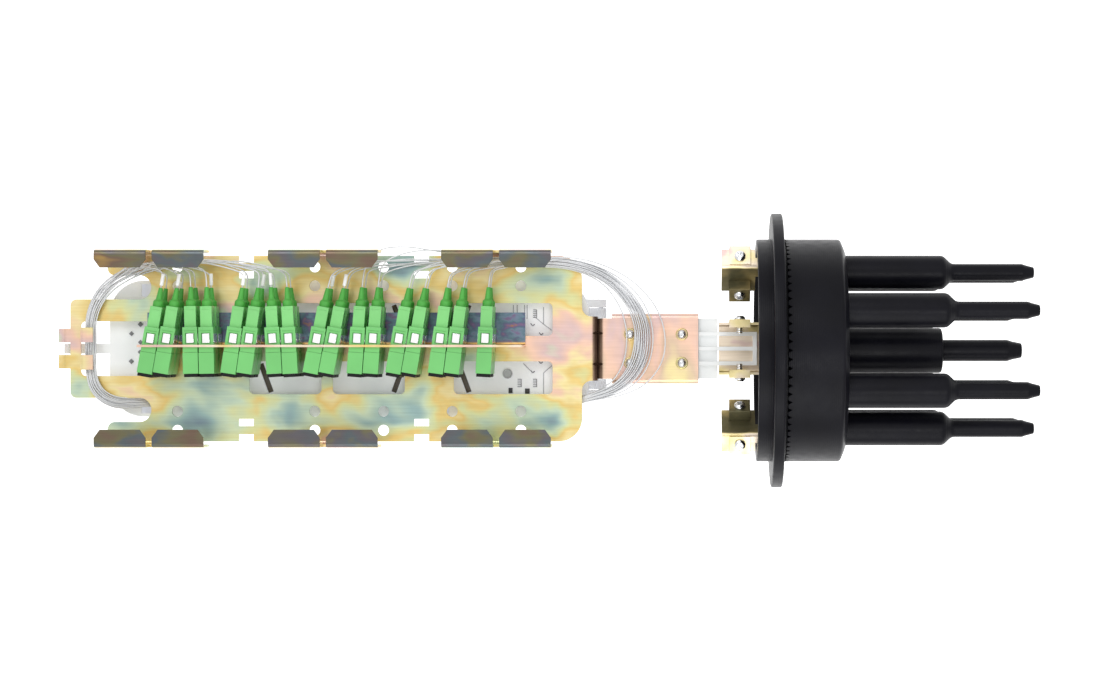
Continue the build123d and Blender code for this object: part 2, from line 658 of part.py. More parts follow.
# Adapter plate: one folded sheet with windows, slots, fingers, hooks and six pairs of wings
with BuildPart() as adapter_plate:
    with BuildSketch(Plane.XY.offset(PLATE_TOP)) as outline:
        with Locations(((PLATE_LEFT + PLATE_RIGHT) / 2, CENTRE_Y)):
            Rectangle(PLATE_RIGHT - PLATE_LEFT, 2 * PLATE_HALF)
        fillet(outline.vertices().group_by(Axis.X)[-1], PLATE_CORNER)
        with Locations((CROSS_LEFT + 45, CENTRE_Y)):
            Rectangle(90, 2 * SLOT_HALVES[0])
        with Locations((PLATE_RIGHT, CENTRE_Y)):
            Rectangle(2 * (JOINT_X - JOINT_BEND - SHEET - PLATE_RIGHT), 2 * TONGUE_HALF)
        slot_mid = (SLOT_HALVES[0] + SLOT_HALVES[1]) / 2
        slot_width = SLOT_HALVES[1] - SLOT_HALVES[0]
        for side in (-1, 1):
            with Locations((SLOT_END - 40, CENTRE_Y + side * slot_mid)):
                SlotOverall(80, slot_width, mode=Mode.SUBTRACT)
        window_left = CROSS_LEFT + CROSS_WIDTH
        with Locations(((window_left + LEFT_WINDOW_RIGHT) / 2, CENTRE_Y)):
            RectangleRounded(LEFT_WINDOW_RIGHT - window_left, 2 * LEFT_WINDOW_HALF,
                             WINDOW_CORNER, mode=Mode.SUBTRACT)
        low, high = WINDOW_HALVES
        for left, right in WINDOW_SPANS:
            with Locations(((left + right) / 2, CENTRE_Y - (low + high) / 2),
                           ((left + right) / 2, CENTRE_Y + (low + high) / 2)):
                RectangleRounded(right - left, high - low, WINDOW_CORNER, mode=Mode.SUBTRACT)
        holes = [(x, CENTRE_Y + side * y) for x in HOLE_XS for y in HOLE_YS for side in (-1, 1)]
        with Locations(*holes):
            Circle(HOLE_R, mode=Mode.SUBTRACT)
        with Locations(*[(x, PANEL_RIVET_Y) for x in PANEL_RIVET_XS]):
            Circle(RIVET_R + 0.05, mode=Mode.SUBTRACT)
        for x in TIE_SLOT_XS:
            with Locations((x, CENTRE_Y - TIE_SLOT_Y), (x, CENTRE_Y + TIE_SLOT_Y)):
                Rectangle(*TIE_SLOT, mode=Mode.SUBTRACT)
            with Locations((x, CENTRE_Y - PLATE_HALF), (x, CENTRE_Y + PLATE_HALF)):
                Rectangle(TIE_SLOT[0], 2 * TIE_SLOT[1], mode=Mode.SUBTRACT)
        ends = outline.vertices().group_by(Axis.X)
        fillet(ends[0], 4.0)
        fillet(outline.vertices().filter_by(lambda v: abs(v.X - PLATE_LEFT) < 0.01
               and abs(v.Y - CENTRE_Y) > SLOT_HALVES[1] - 1), 4.5)
        fillet(outline.vertices().filter_by(lambda v: abs(v.X - PLATE_RIGHT) < 0.01
               and abs(v.Y - CENTRE_Y) < TONGUE_HALF + 1), 6.0)
    extrude(amount=-SHEET)
    with BuildSketch(Plane.XZ.offset(-(CENTRE_Y + TONGUE_HALF))):
        add(folded(((PLATE_RIGHT + 3, PLATE_TOP), (JOINT_X, PLATE_TOP),
                    (JOINT_X, PLATE_TOP - JOINT_DROP)), thickness=-SHEET, radius=JOINT_BEND))
    extrude(amount=2 * TONGUE_HALF)
    add(darts(JOINT_X, -1), mode=Mode.SUBTRACT)
    with BuildSketch(Plane.YZ.offset(JOINT_X)):
        with Locations((CENTRE_Y - JOINT_BOLT_Y, PLATE_TOP - JOINT_BOLT_DROP),
                       (CENTRE_Y + JOINT_BOLT_Y, PLATE_TOP - JOINT_BOLT_DROP)):
            Circle(JOINT_BOLT_R + 0.1)
    extrude(amount=-2 * SHEET, mode=Mode.SUBTRACT)
    for side in (-1, 1):
        low, high = FINGER_HALVES
        with BuildSketch(Plane.XZ.offset(-(CENTRE_Y + side * (low + high) / 2))):
            add(folded(((CROSS_LEFT + 3, PLATE_TOP), (CROSS_LEFT - 3.6, PLATE_TOP),
                        (CROSS_LEFT - 8.8, PLATE_TOP - 4.6)), thickness=SHEET))
        extrude(amount=(high - low) / 2, both=True)
        low, high = HOOK_HALVES
        stem = CROSS_LEFT + CROSS_WIDTH + SHEET
        with BuildSketch(Plane.XZ.offset(-(CENTRE_Y + side * (low + high) / 2))):
            add(folded(((stem - 5, PLATE_TOP), (stem, PLATE_TOP), (stem, HOOK_TOP),
                        (HOOK_END, HOOK_TOP)), thickness=-SHEET, radius=0.8))
        extrude(amount=(high - low) / 2, both=True)
    lobe = (WING_LENGTH - WING_GAP) / 2
    for side in (-1, 1):
        foot = (CENTRE_Y + side * (PLATE_HALF - 3), PLATE_TOP - SHEET)
        low = (CENTRE_Y + side * WING_OUTER, PLATE_TOP - SHEET)
        top = (CENTRE_Y + side * WING_OUTER, WING_TOP)
        lip = (CENTRE_Y + side * WING_INNER, WING_TOP)
        for x in WING_XS:
            with BuildSketch(Plane.YZ.offset(x - WING_STEM / 2)):
                add(folded((foot, low, (low[0], WING_SPLIT)), thickness=side * SHEET))
            extrude(amount=WING_STEM)
            for start in (x - WING_LENGTH / 2, x + WING_GAP / 2):
                with BuildSketch(Plane.YZ.offset(start)):
                    add(folded(((low[0], WING_WAIST), top, lip), thickness=side * SHEET))
                extrude(amount=lobe)
                with BuildSketch(Plane.XY.offset(WING_TOP + 1)):
                    for corner, slope in ((start, 1), (start + lobe, -1)):
                        with BuildLine():
                            Polyline((corner - slope, lip[0] - side),
                                     (corner + slope * WING_SLANT[0], lip[0] - side),
                                     (corner - slope, lip[0] + side * WING_SLANT[1]), close=True)
                        make_face()
                extrude(amount=-2 * SHEET - 1, mode=Mode.SUBTRACT)
write(adapter_plate, "adapter_plate")

# Adapter panel: an angle whose wall has nine double cut-outs in each of two rows
with BuildPart() as adapter_panel:
    with BuildSketch(Plane.YZ.offset(PANEL_LEFT)):
        add(folded(((PANEL_FACE_Y, PANEL_TOP), (PANEL_FACE_Y, PLATE_TOP), (PANEL_LEG_Y, PLATE_TOP))))
    extrude(amount=PANEL_RIGHT - PANEL_LEFT)
    with BuildSketch(Plane.XZ):
        for z in LAYER_ZS.values():
            for x, spacing, tilt in PAIRS:
                with Locations((x, z)):
                    Rectangle(spacing + ADAPTER_WIDTH + CUTOUT_PLAY, CUTOUT_HEIGHT)
    extrude(amount=-2 * PANEL_FACE_Y - SHEET, mode=Mode.SUBTRACT)
    with BuildSketch(Plane.XY.offset(PLATE_TOP)):
        with Locations(*[(x, PANEL_RIVET_Y) for x in PANEL_RIVET_XS]):
            Circle(RIVET_R + 0.05)
    extrude(amount=2 * SHEET, mode=Mode.SUBTRACT)
write(adapter_panel, "adapter_panel")

# Rivets of the panel's leg: flush heads, so that the adapters pass over them
with BuildPart() as panel_rivets:
    for x in PANEL_RIVET_XS:
        with BuildSketch(Plane.XY.offset(PLATE_TOP + SHEET)):
            with Locations((x, PANEL_RIVET_Y)):
                RegularPolygon(2 * RIVET_R, HEAD_SIDES)
        extrude(amount=RIVET_HEAD)
        with BuildSketch(Plane.XY.offset(PLATE_TOP + SHEET)):
            with Locations((x, PANEL_RIVET_Y)):
                RegularPolygon(RIVET_R, SHANK_SIDES)
        extrude(amount=-2 * SHEET - RIVET_FOOT)
        with BuildSketch(Plane.XY.offset(PLATE_TOP - SHEET)):
            with Locations((x, PANEL_RIVET_Y)):
                RegularPolygon(1.6 * RIVET_R, HEAD_SIDES)
        extrude(amount=-RIVET_FOOT)
write(panel_rivets, "panel_rivets")


def seats(pair, z):
    """Where a pair's adapters sit: at the panel, both turned by the pair's tilt."""
    x, spacing, tilt = pair
    offsets = (-spacing / 2, spacing / 2) if spacing else (0,)
    return [Location((x + offset, PANEL_FACE_Y, z), (0, 0, -tilt)) for offset in offsets]


def block(size_x, y_from, y_to, size_z):
    """A box about the plug axis, from one Y to another, moved so that the panel is at 0."""
    middle = (y_from + y_to) / 2 - PANEL_FACE_Y
    return Pos(0, middle, 0) * Box(size_x, y_to - y_from, size_z)


# One adapter, plug, boot, clip and dust plug, each about the panel's face on its own axis
back, front = ADAPTER_YS[1], ADAPTER_YS[0]
adapter = block(ADAPTER_WIDTH, front, back, ADAPTER_HEIGHT)
adapter += block(ADAPTER_WIDTH + 0.3, front, SHOULDER_Y, ADAPTER_HEIGHT + 0.4)
adapter -= block(MOUTH[0], back - MOUTH_DEPTH, back, MOUTH[1])
adapter -= block(MOUTH[0], front, front + MOUTH_DEPTH, MOUTH[1])
waist = block(ADAPTER_WIDTH, CLIP_YS[0] - 0.1, CLIP_YS[1] + 0.1, ADAPTER_HEIGHT)
adapter -= waist - block(CLIP_INSIDE[0] - 0.1, front, back, CLIP_INSIDE[1] - 0.1)

plug = block(PLUG_SECTION[0], PLUG_YS[0], PLUG_YS[1], PLUG_SECTION[1])
plug = chamfer(plug.faces().sort_by(Axis.Y)[-1].edges(), 0.6)

clip = block(CLIP_OUTSIDE[0], CLIP_YS[0], CLIP_YS[1], CLIP_OUTSIDE[1])
clip -= block(CLIP_INSIDE[0], CLIP_YS[0], CLIP_YS[1], CLIP_INSIDE[1])

dust = block(DUST_RIM[0], front - DUST_RIM[2], front - 0.02, DUST_RIM[1])
dust += block(DUST_STEM[0], front - 0.1, front + DUST_STEM[2], DUST_STEM[1])

with BuildPart() as boot:
    for y_from, y_to, r_from, r_to in BOOT_STRETCHES:
        for y, r in ((y_from, r_from), (y_to, r_to)):
            with BuildSketch(Plane.XZ.offset(PANEL_FACE_Y - y)):
                RegularPolygon(r, BOOT_SIDES)
        loft()

for layer, z in LAYER_ZS.items():
    for number, pair in enumerate(PAIRS, start=1):
        with BuildPart() as adapters:
            with Locations(*seats(pair, z)):
                add(adapter)
        write(adapters, f"adapters_{layer}_{number}")
        with BuildPart() as plugs:
            with Locations(*seats(pair, z)):
                add(plug)
        write(plugs, f"plugs_{layer}_{number}")

every_seat = [seat for z in LAYER_ZS.values() for pair in PAIRS for seat in seats(pair, z)]
for name, one in (("plug_boots", boot.part), ("adapter_clips", clip), ("dust_plugs", dust)):
    with BuildPart() as group:
        with Locations(*every_seat):
            add(one)
    write(group, name)


# Splice trays: a floor under the plate, a rim, two winders, a splice comb and fibre tabs
def tray(top, latch):
    """A tray with its floor at the top and its open side down."""
    bottom = top - TRAY_DEPTH
    with BuildPart() as one:
        with BuildSketch(Plane.XY.offset(top)) as plan:
            with Locations(((TRAY_LEFT + TRAY_RIGHT) / 2, CENTRE_Y)):
                Rectangle(TRAY_RIGHT - TRAY_LEFT, 2 * TRAY_HALF)
            fillet(plan.vertices(), TRAY_CORNER)
        extrude(amount=-TRAY_DEPTH)
        with BuildSketch(Plane.XY.offset(top - TRAY_WALL)) as inside:
            with Locations(((TRAY_LEFT + TRAY_RIGHT) / 2, CENTRE_Y)):
                Rectangle(TRAY_RIGHT - TRAY_LEFT - 2 * TRAY_WALL, 2 * (TRAY_HALF - TRAY_WALL))
            fillet(inside.vertices(), TRAY_CORNER - TRAY_WALL)
        extrude(amount=-TRAY_DEPTH, mode=Mode.SUBTRACT)
        for x in DRUM_XS:
            with BuildSketch(Plane.XY.offset(top - TRAY_WALL)):
                with Locations((x, CENTRE_Y)):
                    Circle(WINDER_R)
                    Circle(WINDER_R - TRAY_WALL, mode=Mode.SUBTRACT)
            extrude(amount=TRAY_WALL + 1.0 - TRAY_DEPTH)
        with BuildSketch(Plane.XY.offset(top - TRAY_WALL)):
            with GridLocations(0, COMB_PITCH, 1, COMB_COUNT):
                with Locations(((COMB_SPAN[0] + COMB_SPAN[1]) / 2, CENTRE_Y)):
                    Rectangle(COMB_SPAN[1] - COMB_SPAN[0], COMB_RIB)
        extrude(amount=-COMB_HEIGHT)
        for x in TAB_XS:
            for side in (-1, 1):
                edge = CENTRE_Y + side * (TRAY_HALF - TRAY_WALL / 2)
                with BuildSketch(Plane.XY.offset(bottom + 1.0)):
                    with Locations((x, edge - side * TAB_SIZE[1] / 2)):
                        Rectangle(*TAB_SIZE)
                extrude(amount=TAB_SHEET)
                with BuildSketch(Plane.XY.offset(top)):
                    with Locations((x, edge - side * (TAB_SIZE[1] / 2 + 0.8))):
                        Rectangle(TAB_SIZE[0] + 1, TAB_SIZE[1] - 1)
                extrude(amount=-TRAY_WALL, mode=Mode.SUBTRACT)
        with BuildSketch(Plane.XY.offset(top)):
            for x, turn in SLANT_SLOTS:
                for side in (-1, 1):
                    with Locations((x, CENTRE_Y + side * SLANT_Y)):
                        Rectangle(SLANT_SIZE[0], SLANT_SIZE[1], rotation=side * turn)
        extrude(amount=-TRAY_WALL, mode=Mode.SUBTRACT)
        if latch:
            with BuildSketch(Plane.XZ.offset(LATCH_HALF - CENTRE_Y)):
                add(folded(((TRAY_LEFT + 1, top), (LATCH_X, top), (LATCH_X, PLATE_TOP + 3.2)),
                           thickness=TRAY_WALL, radius=1.0))
            extrude(amount=-2 * LATCH_HALF)
    return one.part


def knuckle(axis, reach, low, high, pin_r, thickness):
    """A lug along Y from low to high: an eye about the axis and an arm back to the tray."""
    with BuildPart() as one:
        with BuildSketch(Plane.XZ.offset(-(CENTRE_Y + (low + high) / 2))) as profile:
            with Locations(axis):
                Circle(pin_r + 2.2)
            with Locations(((reach[0] + axis[0]) / 2, reach[1])):
                Rectangle(axis[0] - reach[0], thickness)
            with Locations(axis):
                Circle(pin_r + PIN_PLAY, mode=Mode.SUBTRACT)
        extrude(amount=(high - low) / 2, both=True)
    return one.part


with BuildPart() as splice_tray_1:
    add(tray(TRAY_TOPS[0], True))
    add(knuckle(HINGE_1, (TRAY_RIGHT - 1, HINGE_1[1] + 1.0), -12.6, 12.6, HINGE_PIN_R, 4.0))
    for low, high in ((-32.0, -27.0), (27.0, 32.0)):
        with BuildSketch(Plane.XZ.offset(-(CENTRE_Y + (low + high) / 2))):
            with BuildLine():
                Polyline((TRAY_RIGHT - TRAY_LUG_ROOT, TRAY_TOPS[0] - 2),
                         (TRAY_RIGHT - TRAY_LUG_ROOT, LUG_LOW),
                         (TRAY_RIGHT + 0.4, LUG_LOW), (HINGE_2[0] - 3.4, HINGE_2[1]),
                         (HINGE_2[0] - 2.4, HINGE_2[1] - 2.6), (HINGE_2[0] + 2.4, HINGE_2[1] - 2.6),
                         (HINGE_2[0] + 3.6, HINGE_2[1]), (HINGE_2[0] + 3.6, LUG_LOW), close=True)
            make_face()
        extrude(amount=(high - low) / 2, both=True)
    with BuildSketch(Plane.XZ):
        with Locations(HINGE_2):
            Circle(LINK_PIN_R)
    extrude(amount=TRAY_HALF, both=True, mode=Mode.SUBTRACT)
write(splice_tray_1, "splice_tray_1")

with BuildPart() as splice_tray_2:
    add(tray(TRAY_TOPS[1], False))
    for low, high in ((-26.6, -20.0), (20.0, 26.6)):
        add(knuckle(HINGE_2, (TRAY_RIGHT - 1, HINGE_2[1]), low, high, LINK_PIN_R, 3.4))
write(splice_tray_2, "splice_tray_2")

with BuildPart() as tray_link_pins:
    for low, high in ((-32.0, -20.0), (20.0, 32.0)):
        with BuildSketch(Plane.XZ.offset(-(CENTRE_Y + (low + high) / 2))):
            with Locations(HINGE_2):
                Circle(LINK_PIN_R)
        extrude(amount=(high - low) / 2, both=True)
write(tray_link_pins, "tray_link_pins")

# Lid that snaps over the lower tray's open side
with BuildPart() as tray_lid:
    lid_top = TRAY_TOPS[1] - TRAY_DEPTH - 0.1
    with BuildSketch(Plane.XY.offset(lid_top)) as plan:
        with Locations(((TRAY_LEFT + TRAY_RIGHT) / 2, CENTRE_Y)):
            Rectangle(TRAY_RIGHT - TRAY_LEFT, 2 * TRAY_HALF)
        fillet(plan.vertices(), TRAY_CORNER)
    extrude(amount=-LID_SHEET)
    with BuildSketch(Plane.XY.offset(lid_top)):
        for x in LID_CLIP_XS:
            for side in (-1, 1):
                with Locations((x, CENTRE_Y + side * (TRAY_HALF - TRAY_WALL - LID_CLIP[1]))):
                    Rectangle(LID_CLIP[0], LID_CLIP[1])
    extrude(amount=LID_CLIP[2])
write(tray_lid, "tray_lid")


# Fibre bundles: straight runs joined by tangent arcs, each arc as large as its runs allow
def route_radii(route):
    radii = []
    for a, b, c in zip(route, route[1:], route[2:]):
        before = Vector(*b) - Vector(*a)
        after = Vector(*c) - Vector(*b)
        half_turn = radians(before.get_angle(after)) / 2
        radii.append(0.45 * min(before.length, after.length) / tan(half_turn))
    return radii


for name, route in (("fibre_bundle_left", LEFT_ROUTE), ("fibre_bundle_right", RIGHT_ROUTE)):
    radii = route_radii(route)
    with BuildPart() as bundle:
        with BuildLine() as path:
            FilletPolyline(*route, radius=radii)
        start = path.line @ 0
        with BuildSketch(Plane(start, z_dir=path.line % 0)):
            RegularPolygon(BUNDLE_R, BUNDLE_SIDES)
        sweep(path=path.line)
    length = sum(edge.length for edge in path.line.edges())
    share = bundle.part.volume / (BUNDLE_SIDES / 2 * BUNDLE_R**2 * sin(2 * pi / BUNDLE_SIDES) * length)
    print(name, "length", round(length), "least radius", round(min(radii)), "share", round(share, 3))
    write(bundle, name)
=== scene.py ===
import math

import bmesh
import bpy
from mathutils import Matrix, Vector


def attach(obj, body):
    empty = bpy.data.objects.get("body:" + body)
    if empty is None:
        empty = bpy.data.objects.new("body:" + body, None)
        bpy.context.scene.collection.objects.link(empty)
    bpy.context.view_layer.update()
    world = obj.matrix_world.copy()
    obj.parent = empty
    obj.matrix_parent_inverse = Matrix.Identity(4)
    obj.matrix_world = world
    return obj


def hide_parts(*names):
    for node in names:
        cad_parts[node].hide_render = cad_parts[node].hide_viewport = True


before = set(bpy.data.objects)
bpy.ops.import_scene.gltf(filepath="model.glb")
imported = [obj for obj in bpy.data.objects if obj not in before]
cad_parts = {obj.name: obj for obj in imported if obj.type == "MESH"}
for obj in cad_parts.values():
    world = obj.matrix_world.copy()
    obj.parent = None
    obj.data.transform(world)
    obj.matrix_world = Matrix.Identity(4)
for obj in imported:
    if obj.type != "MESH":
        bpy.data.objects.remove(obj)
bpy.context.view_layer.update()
MM = 0.001
scene = bpy.context.scene

# %% [markdown]
# ## Camera, light and floor
# The camera looks straight down from 1.5 m. The frame's middle lies left of the lens axis, so
# the shift brings the plate into view without turning the camera.

# %% camera and light
EYE = (-0.0484, 0.0003, 1.5)
SKY_LIGHT = 0.62
FLOOR_WHITE = 0.6
eye = bpy.data.cameras.new("eye")
eye.sensor_width = 36
eye.lens = 77.1
eye.shift_x = -0.1353
camera = bpy.data.objects.new("eye", eye)
camera.location = EYE
scene.collection.objects.link(camera)
scene.camera = camera
scene.view_settings.view_transform = "Standard"


def area_light(name, place, target, size, power):
    """A soft white square light at a place, turned to a target."""
    lamp = bpy.data.lights.new(name, "AREA")
    lamp.size = size
    lamp.energy = power
    holder = bpy.data.objects.new(name, lamp)
    holder.location = place
    aim = Vector(target) - Vector(place)
    holder.rotation_euler = aim.to_track_quat("-Z", "Y").to_euler()
    scene.collection.objects.link(holder)


area_light("key", (-0.5, 0.9, 1.3), (-0.15, 0, 0), 0.9, 8)
area_light("front", (-0.1, -1.1, 0.9), (-0.2, 0, 0), 1.0, 7)
area_light("crest", (0.3, -0.32, 1.45), (0.1, 0, 0), 0.35, 2.5)


def seen_directly(tree, dim, bright):
    """A strength that is bright to the camera and in gloss and glass, and dim as a light."""
    rays = tree.nodes.new("ShaderNodeLightPath")
    total = rays.outputs["Is Camera Ray"]
    for name in ("Is Glossy Ray", "Is Transmission Ray"):
        either = tree.nodes.new("ShaderNodeMath")
        either.operation = "MAXIMUM"
        tree.links.new(total, either.inputs[0])
        tree.links.new(rays.outputs[name], either.inputs[1])
        total = either.outputs[0]
    strength = tree.nodes.new("ShaderNodeMapRange")
    strength.inputs["To Min"].default_value = dim
    strength.inputs["To Max"].default_value = bright
    tree.links.new(total, strength.inputs["Value"])
    return strength.outputs["Result"]


sky = bpy.data.worlds.new("sky")
sky.use_nodes = True
backdrop = sky.node_tree.nodes["Background"]
backdrop.inputs["Color"].default_value = (1, 1, 1, 1)
sky.node_tree.links.new(seen_directly(sky.node_tree, SKY_LIGHT, 1.0), backdrop.inputs["Strength"])
scene.world = sky


# %% [markdown]
# ## Materials
# Every material is a small node tree. `Surface` keeps it readable: it holds the tree, the shader
# and the object coordinates, and adds noise, ramps and bumps by name.

# %% material helper
class Surface:
    """A Principled material and what feeds it, in object coordinates."""

    def __init__(self, name, color=(0.8, 0.8, 0.8), rough=0.5, metal=0.0):
        self.material = bpy.data.materials.new(name)
        self.material.use_nodes = True
        self.tree = self.material.node_tree
        self.shader = self.tree.nodes["Principled BSDF"]
        self.shader.inputs["Base Color"].default_value = (*color, 1)
        self.shader.inputs["Roughness"].default_value = rough
        self.shader.inputs["Metallic"].default_value = metal
        self.place = self.node("ShaderNodeTexCoord").outputs["Object"]

    def node(self, kind, **values):
        made = self.tree.nodes.new(kind)
        for name, value in values.items():
            setattr(made, name, value)
        return made

    def link(self, source, target):
        self.tree.links.new(source, target)

    def stretched(self, scale, turn=(0, 0, 0)):
        """Object coordinates, turned and scaled."""
        mapping = self.node("ShaderNodeMapping")
        mapping.inputs["Scale"].default_value = scale
        mapping.inputs["Rotation"].default_value = turn
        self.link(self.place, mapping.inputs["Vector"])
        return mapping.outputs["Vector"]

    def noise(self, scale, detail=3.0, rough=0.5, vector=None, warp=0.0):
        made = self.node("ShaderNodeTexNoise")
        made.inputs["Scale"].default_value = scale
        made.inputs["Detail"].default_value = detail
        made.inputs["Roughness"].default_value = rough
        made.inputs["Distortion"].default_value = warp
        self.link(vector or self.place, made.inputs["Vector"])
        return made.outputs["Fac"]

    def ramp(self, source, *stops):
        """A colour for each stop of (position, colour)."""
        made = self.node("ShaderNodeValToRGB")
        line = made.color_ramp
        while len(line.elements) < len(stops):
            line.elements.new(0.5)
        for element, (position, color) in zip(line.elements, stops):
            element.position = position
            element.color = (*color, 1)
        self.link(source, made.inputs["Fac"])
        return made.outputs["Color"]

    def span(self, source, low, high, to_low=0.0, to_high=1.0):
        """The source's values from low to high, mapped to another range and clamped."""
        made = self.node("ShaderNodeMapRange")
        ends = {"From Min": low, "From Max": high, "To Min": to_low, "To Max": to_high}
        for name, value in ends.items():
            made.inputs[name].default_value = value
        self.link(source, made.inputs["Value"])
        return made.outputs["Result"]

    def mix(self, share, first, second, blend="MIX"):
        """Two colours mixed: each is a socket or a colour, the share a socket or a number."""
        made = self.node("ShaderNodeMix", data_type="RGBA", blend_type=blend)
        factor, color_a, color_b = (made.inputs[i] for i in (0, 6, 7))
        for socket, value in ((factor, share), (color_a, first), (color_b, second)):
            if isinstance(value, bpy.types.NodeSocket):
                self.link(value, socket)
            elif isinstance(value, (tuple, list)):
                socket.default_value = (*value, 1)
            else:
                socket.default_value = value
        return made.outputs[2]

    def axis(self, name):
        """One coordinate of the place on the object, in metres."""
        made = self.node("ShaderNodeSeparateXYZ")
        self.link(self.place, made.inputs["Vector"])
        return made.outputs[name]

    def shifted(self, value, bias, weight):
        """The value, raised where the bias is over one half and lowered where it is under."""
        centred = self.node("ShaderNodeMath", operation="SUBTRACT")
        centred.inputs[1].default_value = 0.5
        self.link(bias, centred.inputs[0])
        made = self.node("ShaderNodeMath", operation="MULTIPLY_ADD")
        made.inputs[1].default_value = weight
        self.link(centred.outputs[0], made.inputs[0])
        self.link(value, made.inputs[2])
        return made.outputs[0]

    def color(self, source):
        self.link(source, self.shader.inputs["Base Color"])

    def rough(self, source):
        self.link(source, self.shader.inputs["Roughness"])

    def bump(self, height, strength, distance, radius=0.0):
        """A bump, on top of edges rounded to a radius where one is given."""
        made = self.node("ShaderNodeBump")
        made.inputs["Strength"].default_value = strength
        made.inputs["Distance"].default_value = distance
        self.link(height, made.inputs["Height"])
        if radius:
            self.link(self.soft_edges(radius), made.inputs["Normal"])
        self.link(made.outputs["Normal"], self.shader.inputs["Normal"])

    def soft_edges(self, radius):
        """The normal as if every edge were rounded."""
        made = self.node("ShaderNodeBevel", samples=4)
        made.inputs["Radius"].default_value = radius
        return made.outputs["Normal"]


# %% [markdown]
# Yellow chromate on zinc is a thin film: its colour drifts with its thickness, from straw over pink
# and violet to blue-green. Broad stretched noise gives the drift, fine noise the grain. Some zones
# carry painted light instead: painted shade in crevices and under the adapters, a painted highlight
# on a bend, and painted reflection and shade on the clamp brackets' legs.

# %% plated steel
BRUSHED = 0.25


def plated(name, stops, scale, stretch=(0.85, 1.3, 1.0), dark=(), bands=()):
    """Plated sheet. `dark` lists other films, painted shade and painted highlights, each shown past
    a coordinate: (axis, from, to, stops, scale). `bands` shifts the film along a coordinate, and
    where it is given so paints light and shade: (axis, from, to, weight, greys)."""
    surface = Surface(name, rough=0.34, metal=0.75)
    drift = surface.noise(scale, 3, 0.5, surface.stretched(stretch), warp=0.25)
    for axis, low, high, weight, greys in bands:
        across = surface.span(surface.axis(axis), low, high)
        across = surface.ramp(across, *[(at, (g, g, g)) for at, g in greys])
        drift = surface.shifted(drift, across, weight)
    film = surface.ramp(drift, *stops)
    for axis, low, high, dark_stops, dark_scale in dark:
        turned = surface.stretched((1.0, 1.6, 1.0), (0.3, 0.2, 0.9))
        other = surface.ramp(surface.noise(dark_scale, 3, 0.5, turned, warp=0.3), *dark_stops)
        film = surface.mix(surface.span(surface.axis(axis), low, high), film, other)
    brushed = surface.noise(900, 2, 0.5, surface.stretched((0.05, 1.0, 1.0)))
    lines = surface.ramp(brushed, (0.3, (0.66, 0.63, 0.56)), (0.7, (1, 1, 1)))
    surface.color(surface.mix(BRUSHED, film, lines, "MULTIPLY"))
    surface.rough(surface.span(surface.noise(120, 4, 0.6), 0.3, 0.75, 0.28, 0.42))
    surface.bump(brushed, 0.05, 0.0001, 0.0003)
    return surface


GOLD = (0.76, 0.56, 0.20)
STRAW = (0.82, 0.70, 0.36)
LIME = (0.66, 0.67, 0.34)
MINT = (0.55, 0.66, 0.48)
TEAL = (0.31, 0.45, 0.43)
BLUE = (0.17, 0.23, 0.31)
VIOLET = (0.20, 0.13, 0.24)
PINK = (0.82, 0.55, 0.42)
ROSE = (0.68, 0.49, 0.47)
PALE = (0.82, 0.70, 0.56)
OLIVE = (0.15, 0.14, 0.08)
BROWN = (0.16, 0.11, 0.08)
SLATE = (0.10, 0.12, 0.13)

FILM = ((0.16, VIOLET), (0.24, BLUE), (0.32, TEAL), (0.40, MINT), (0.46, LIME), (0.51, GOLD),
        (0.57, STRAW), (0.63, PINK), (0.70, ROSE), (0.78, MINT))
WING_FILM = ((0.30, BROWN), (0.40, OLIVE), (0.48, SLATE), (0.55, (0.12, 0.11, 0.12)),
             (0.62, OLIVE), (0.68, BROWN), (0.75, (0.34, 0.22, 0.08)))
# Dark brown painted shade in the crevice where the plate's end meets the channel bracket; used on
# both parts.
PAINTED_CREVICE_SHADE = ((0.35, (0.10, 0.06, 0.04)), (0.65, (0.22, 0.14, 0.10)))
PLATE_Y = ((0.02, 0.50), (0.10, 0.12), (0.24, 0.48), (0.40, 0.58), (0.68, 0.58), (0.84, 0.40),
           (0.94, 0.30), (1.0, 0.5))
PLATE_X = ((0.0, 0.74), (0.10, 0.64), (0.22, 0.46), (0.80, 0.46), (0.93, 0.74), (1.0, 0.80))
plate_metal = plated(
    "plate_metal", FILM, 20,
    dark=[("Z", 0.0246, 0.0262, WING_FILM, 24), ("X", -0.1150, -0.1138, PAINTED_CREVICE_SHADE, 40)],
    bands=[("Y", -0.0586, 0.0610, 0.30, PLATE_Y), ("X", -0.4504, -0.1110, 0.22, PLATE_X)])

# %% the other metals
# The panel's lower leg: a violet and blue film, darkened as painted shade from the adapters above
# it.
LEG_FILM_AND_SHADE = ((0.30, VIOLET), (0.42, BLUE), (0.50, (0.12, 0.20, 0.25)), (0.58, (0.12, 0.13, 0.22)),
            (0.66, VIOLET), (0.74, (0.34, 0.18, 0.10)))
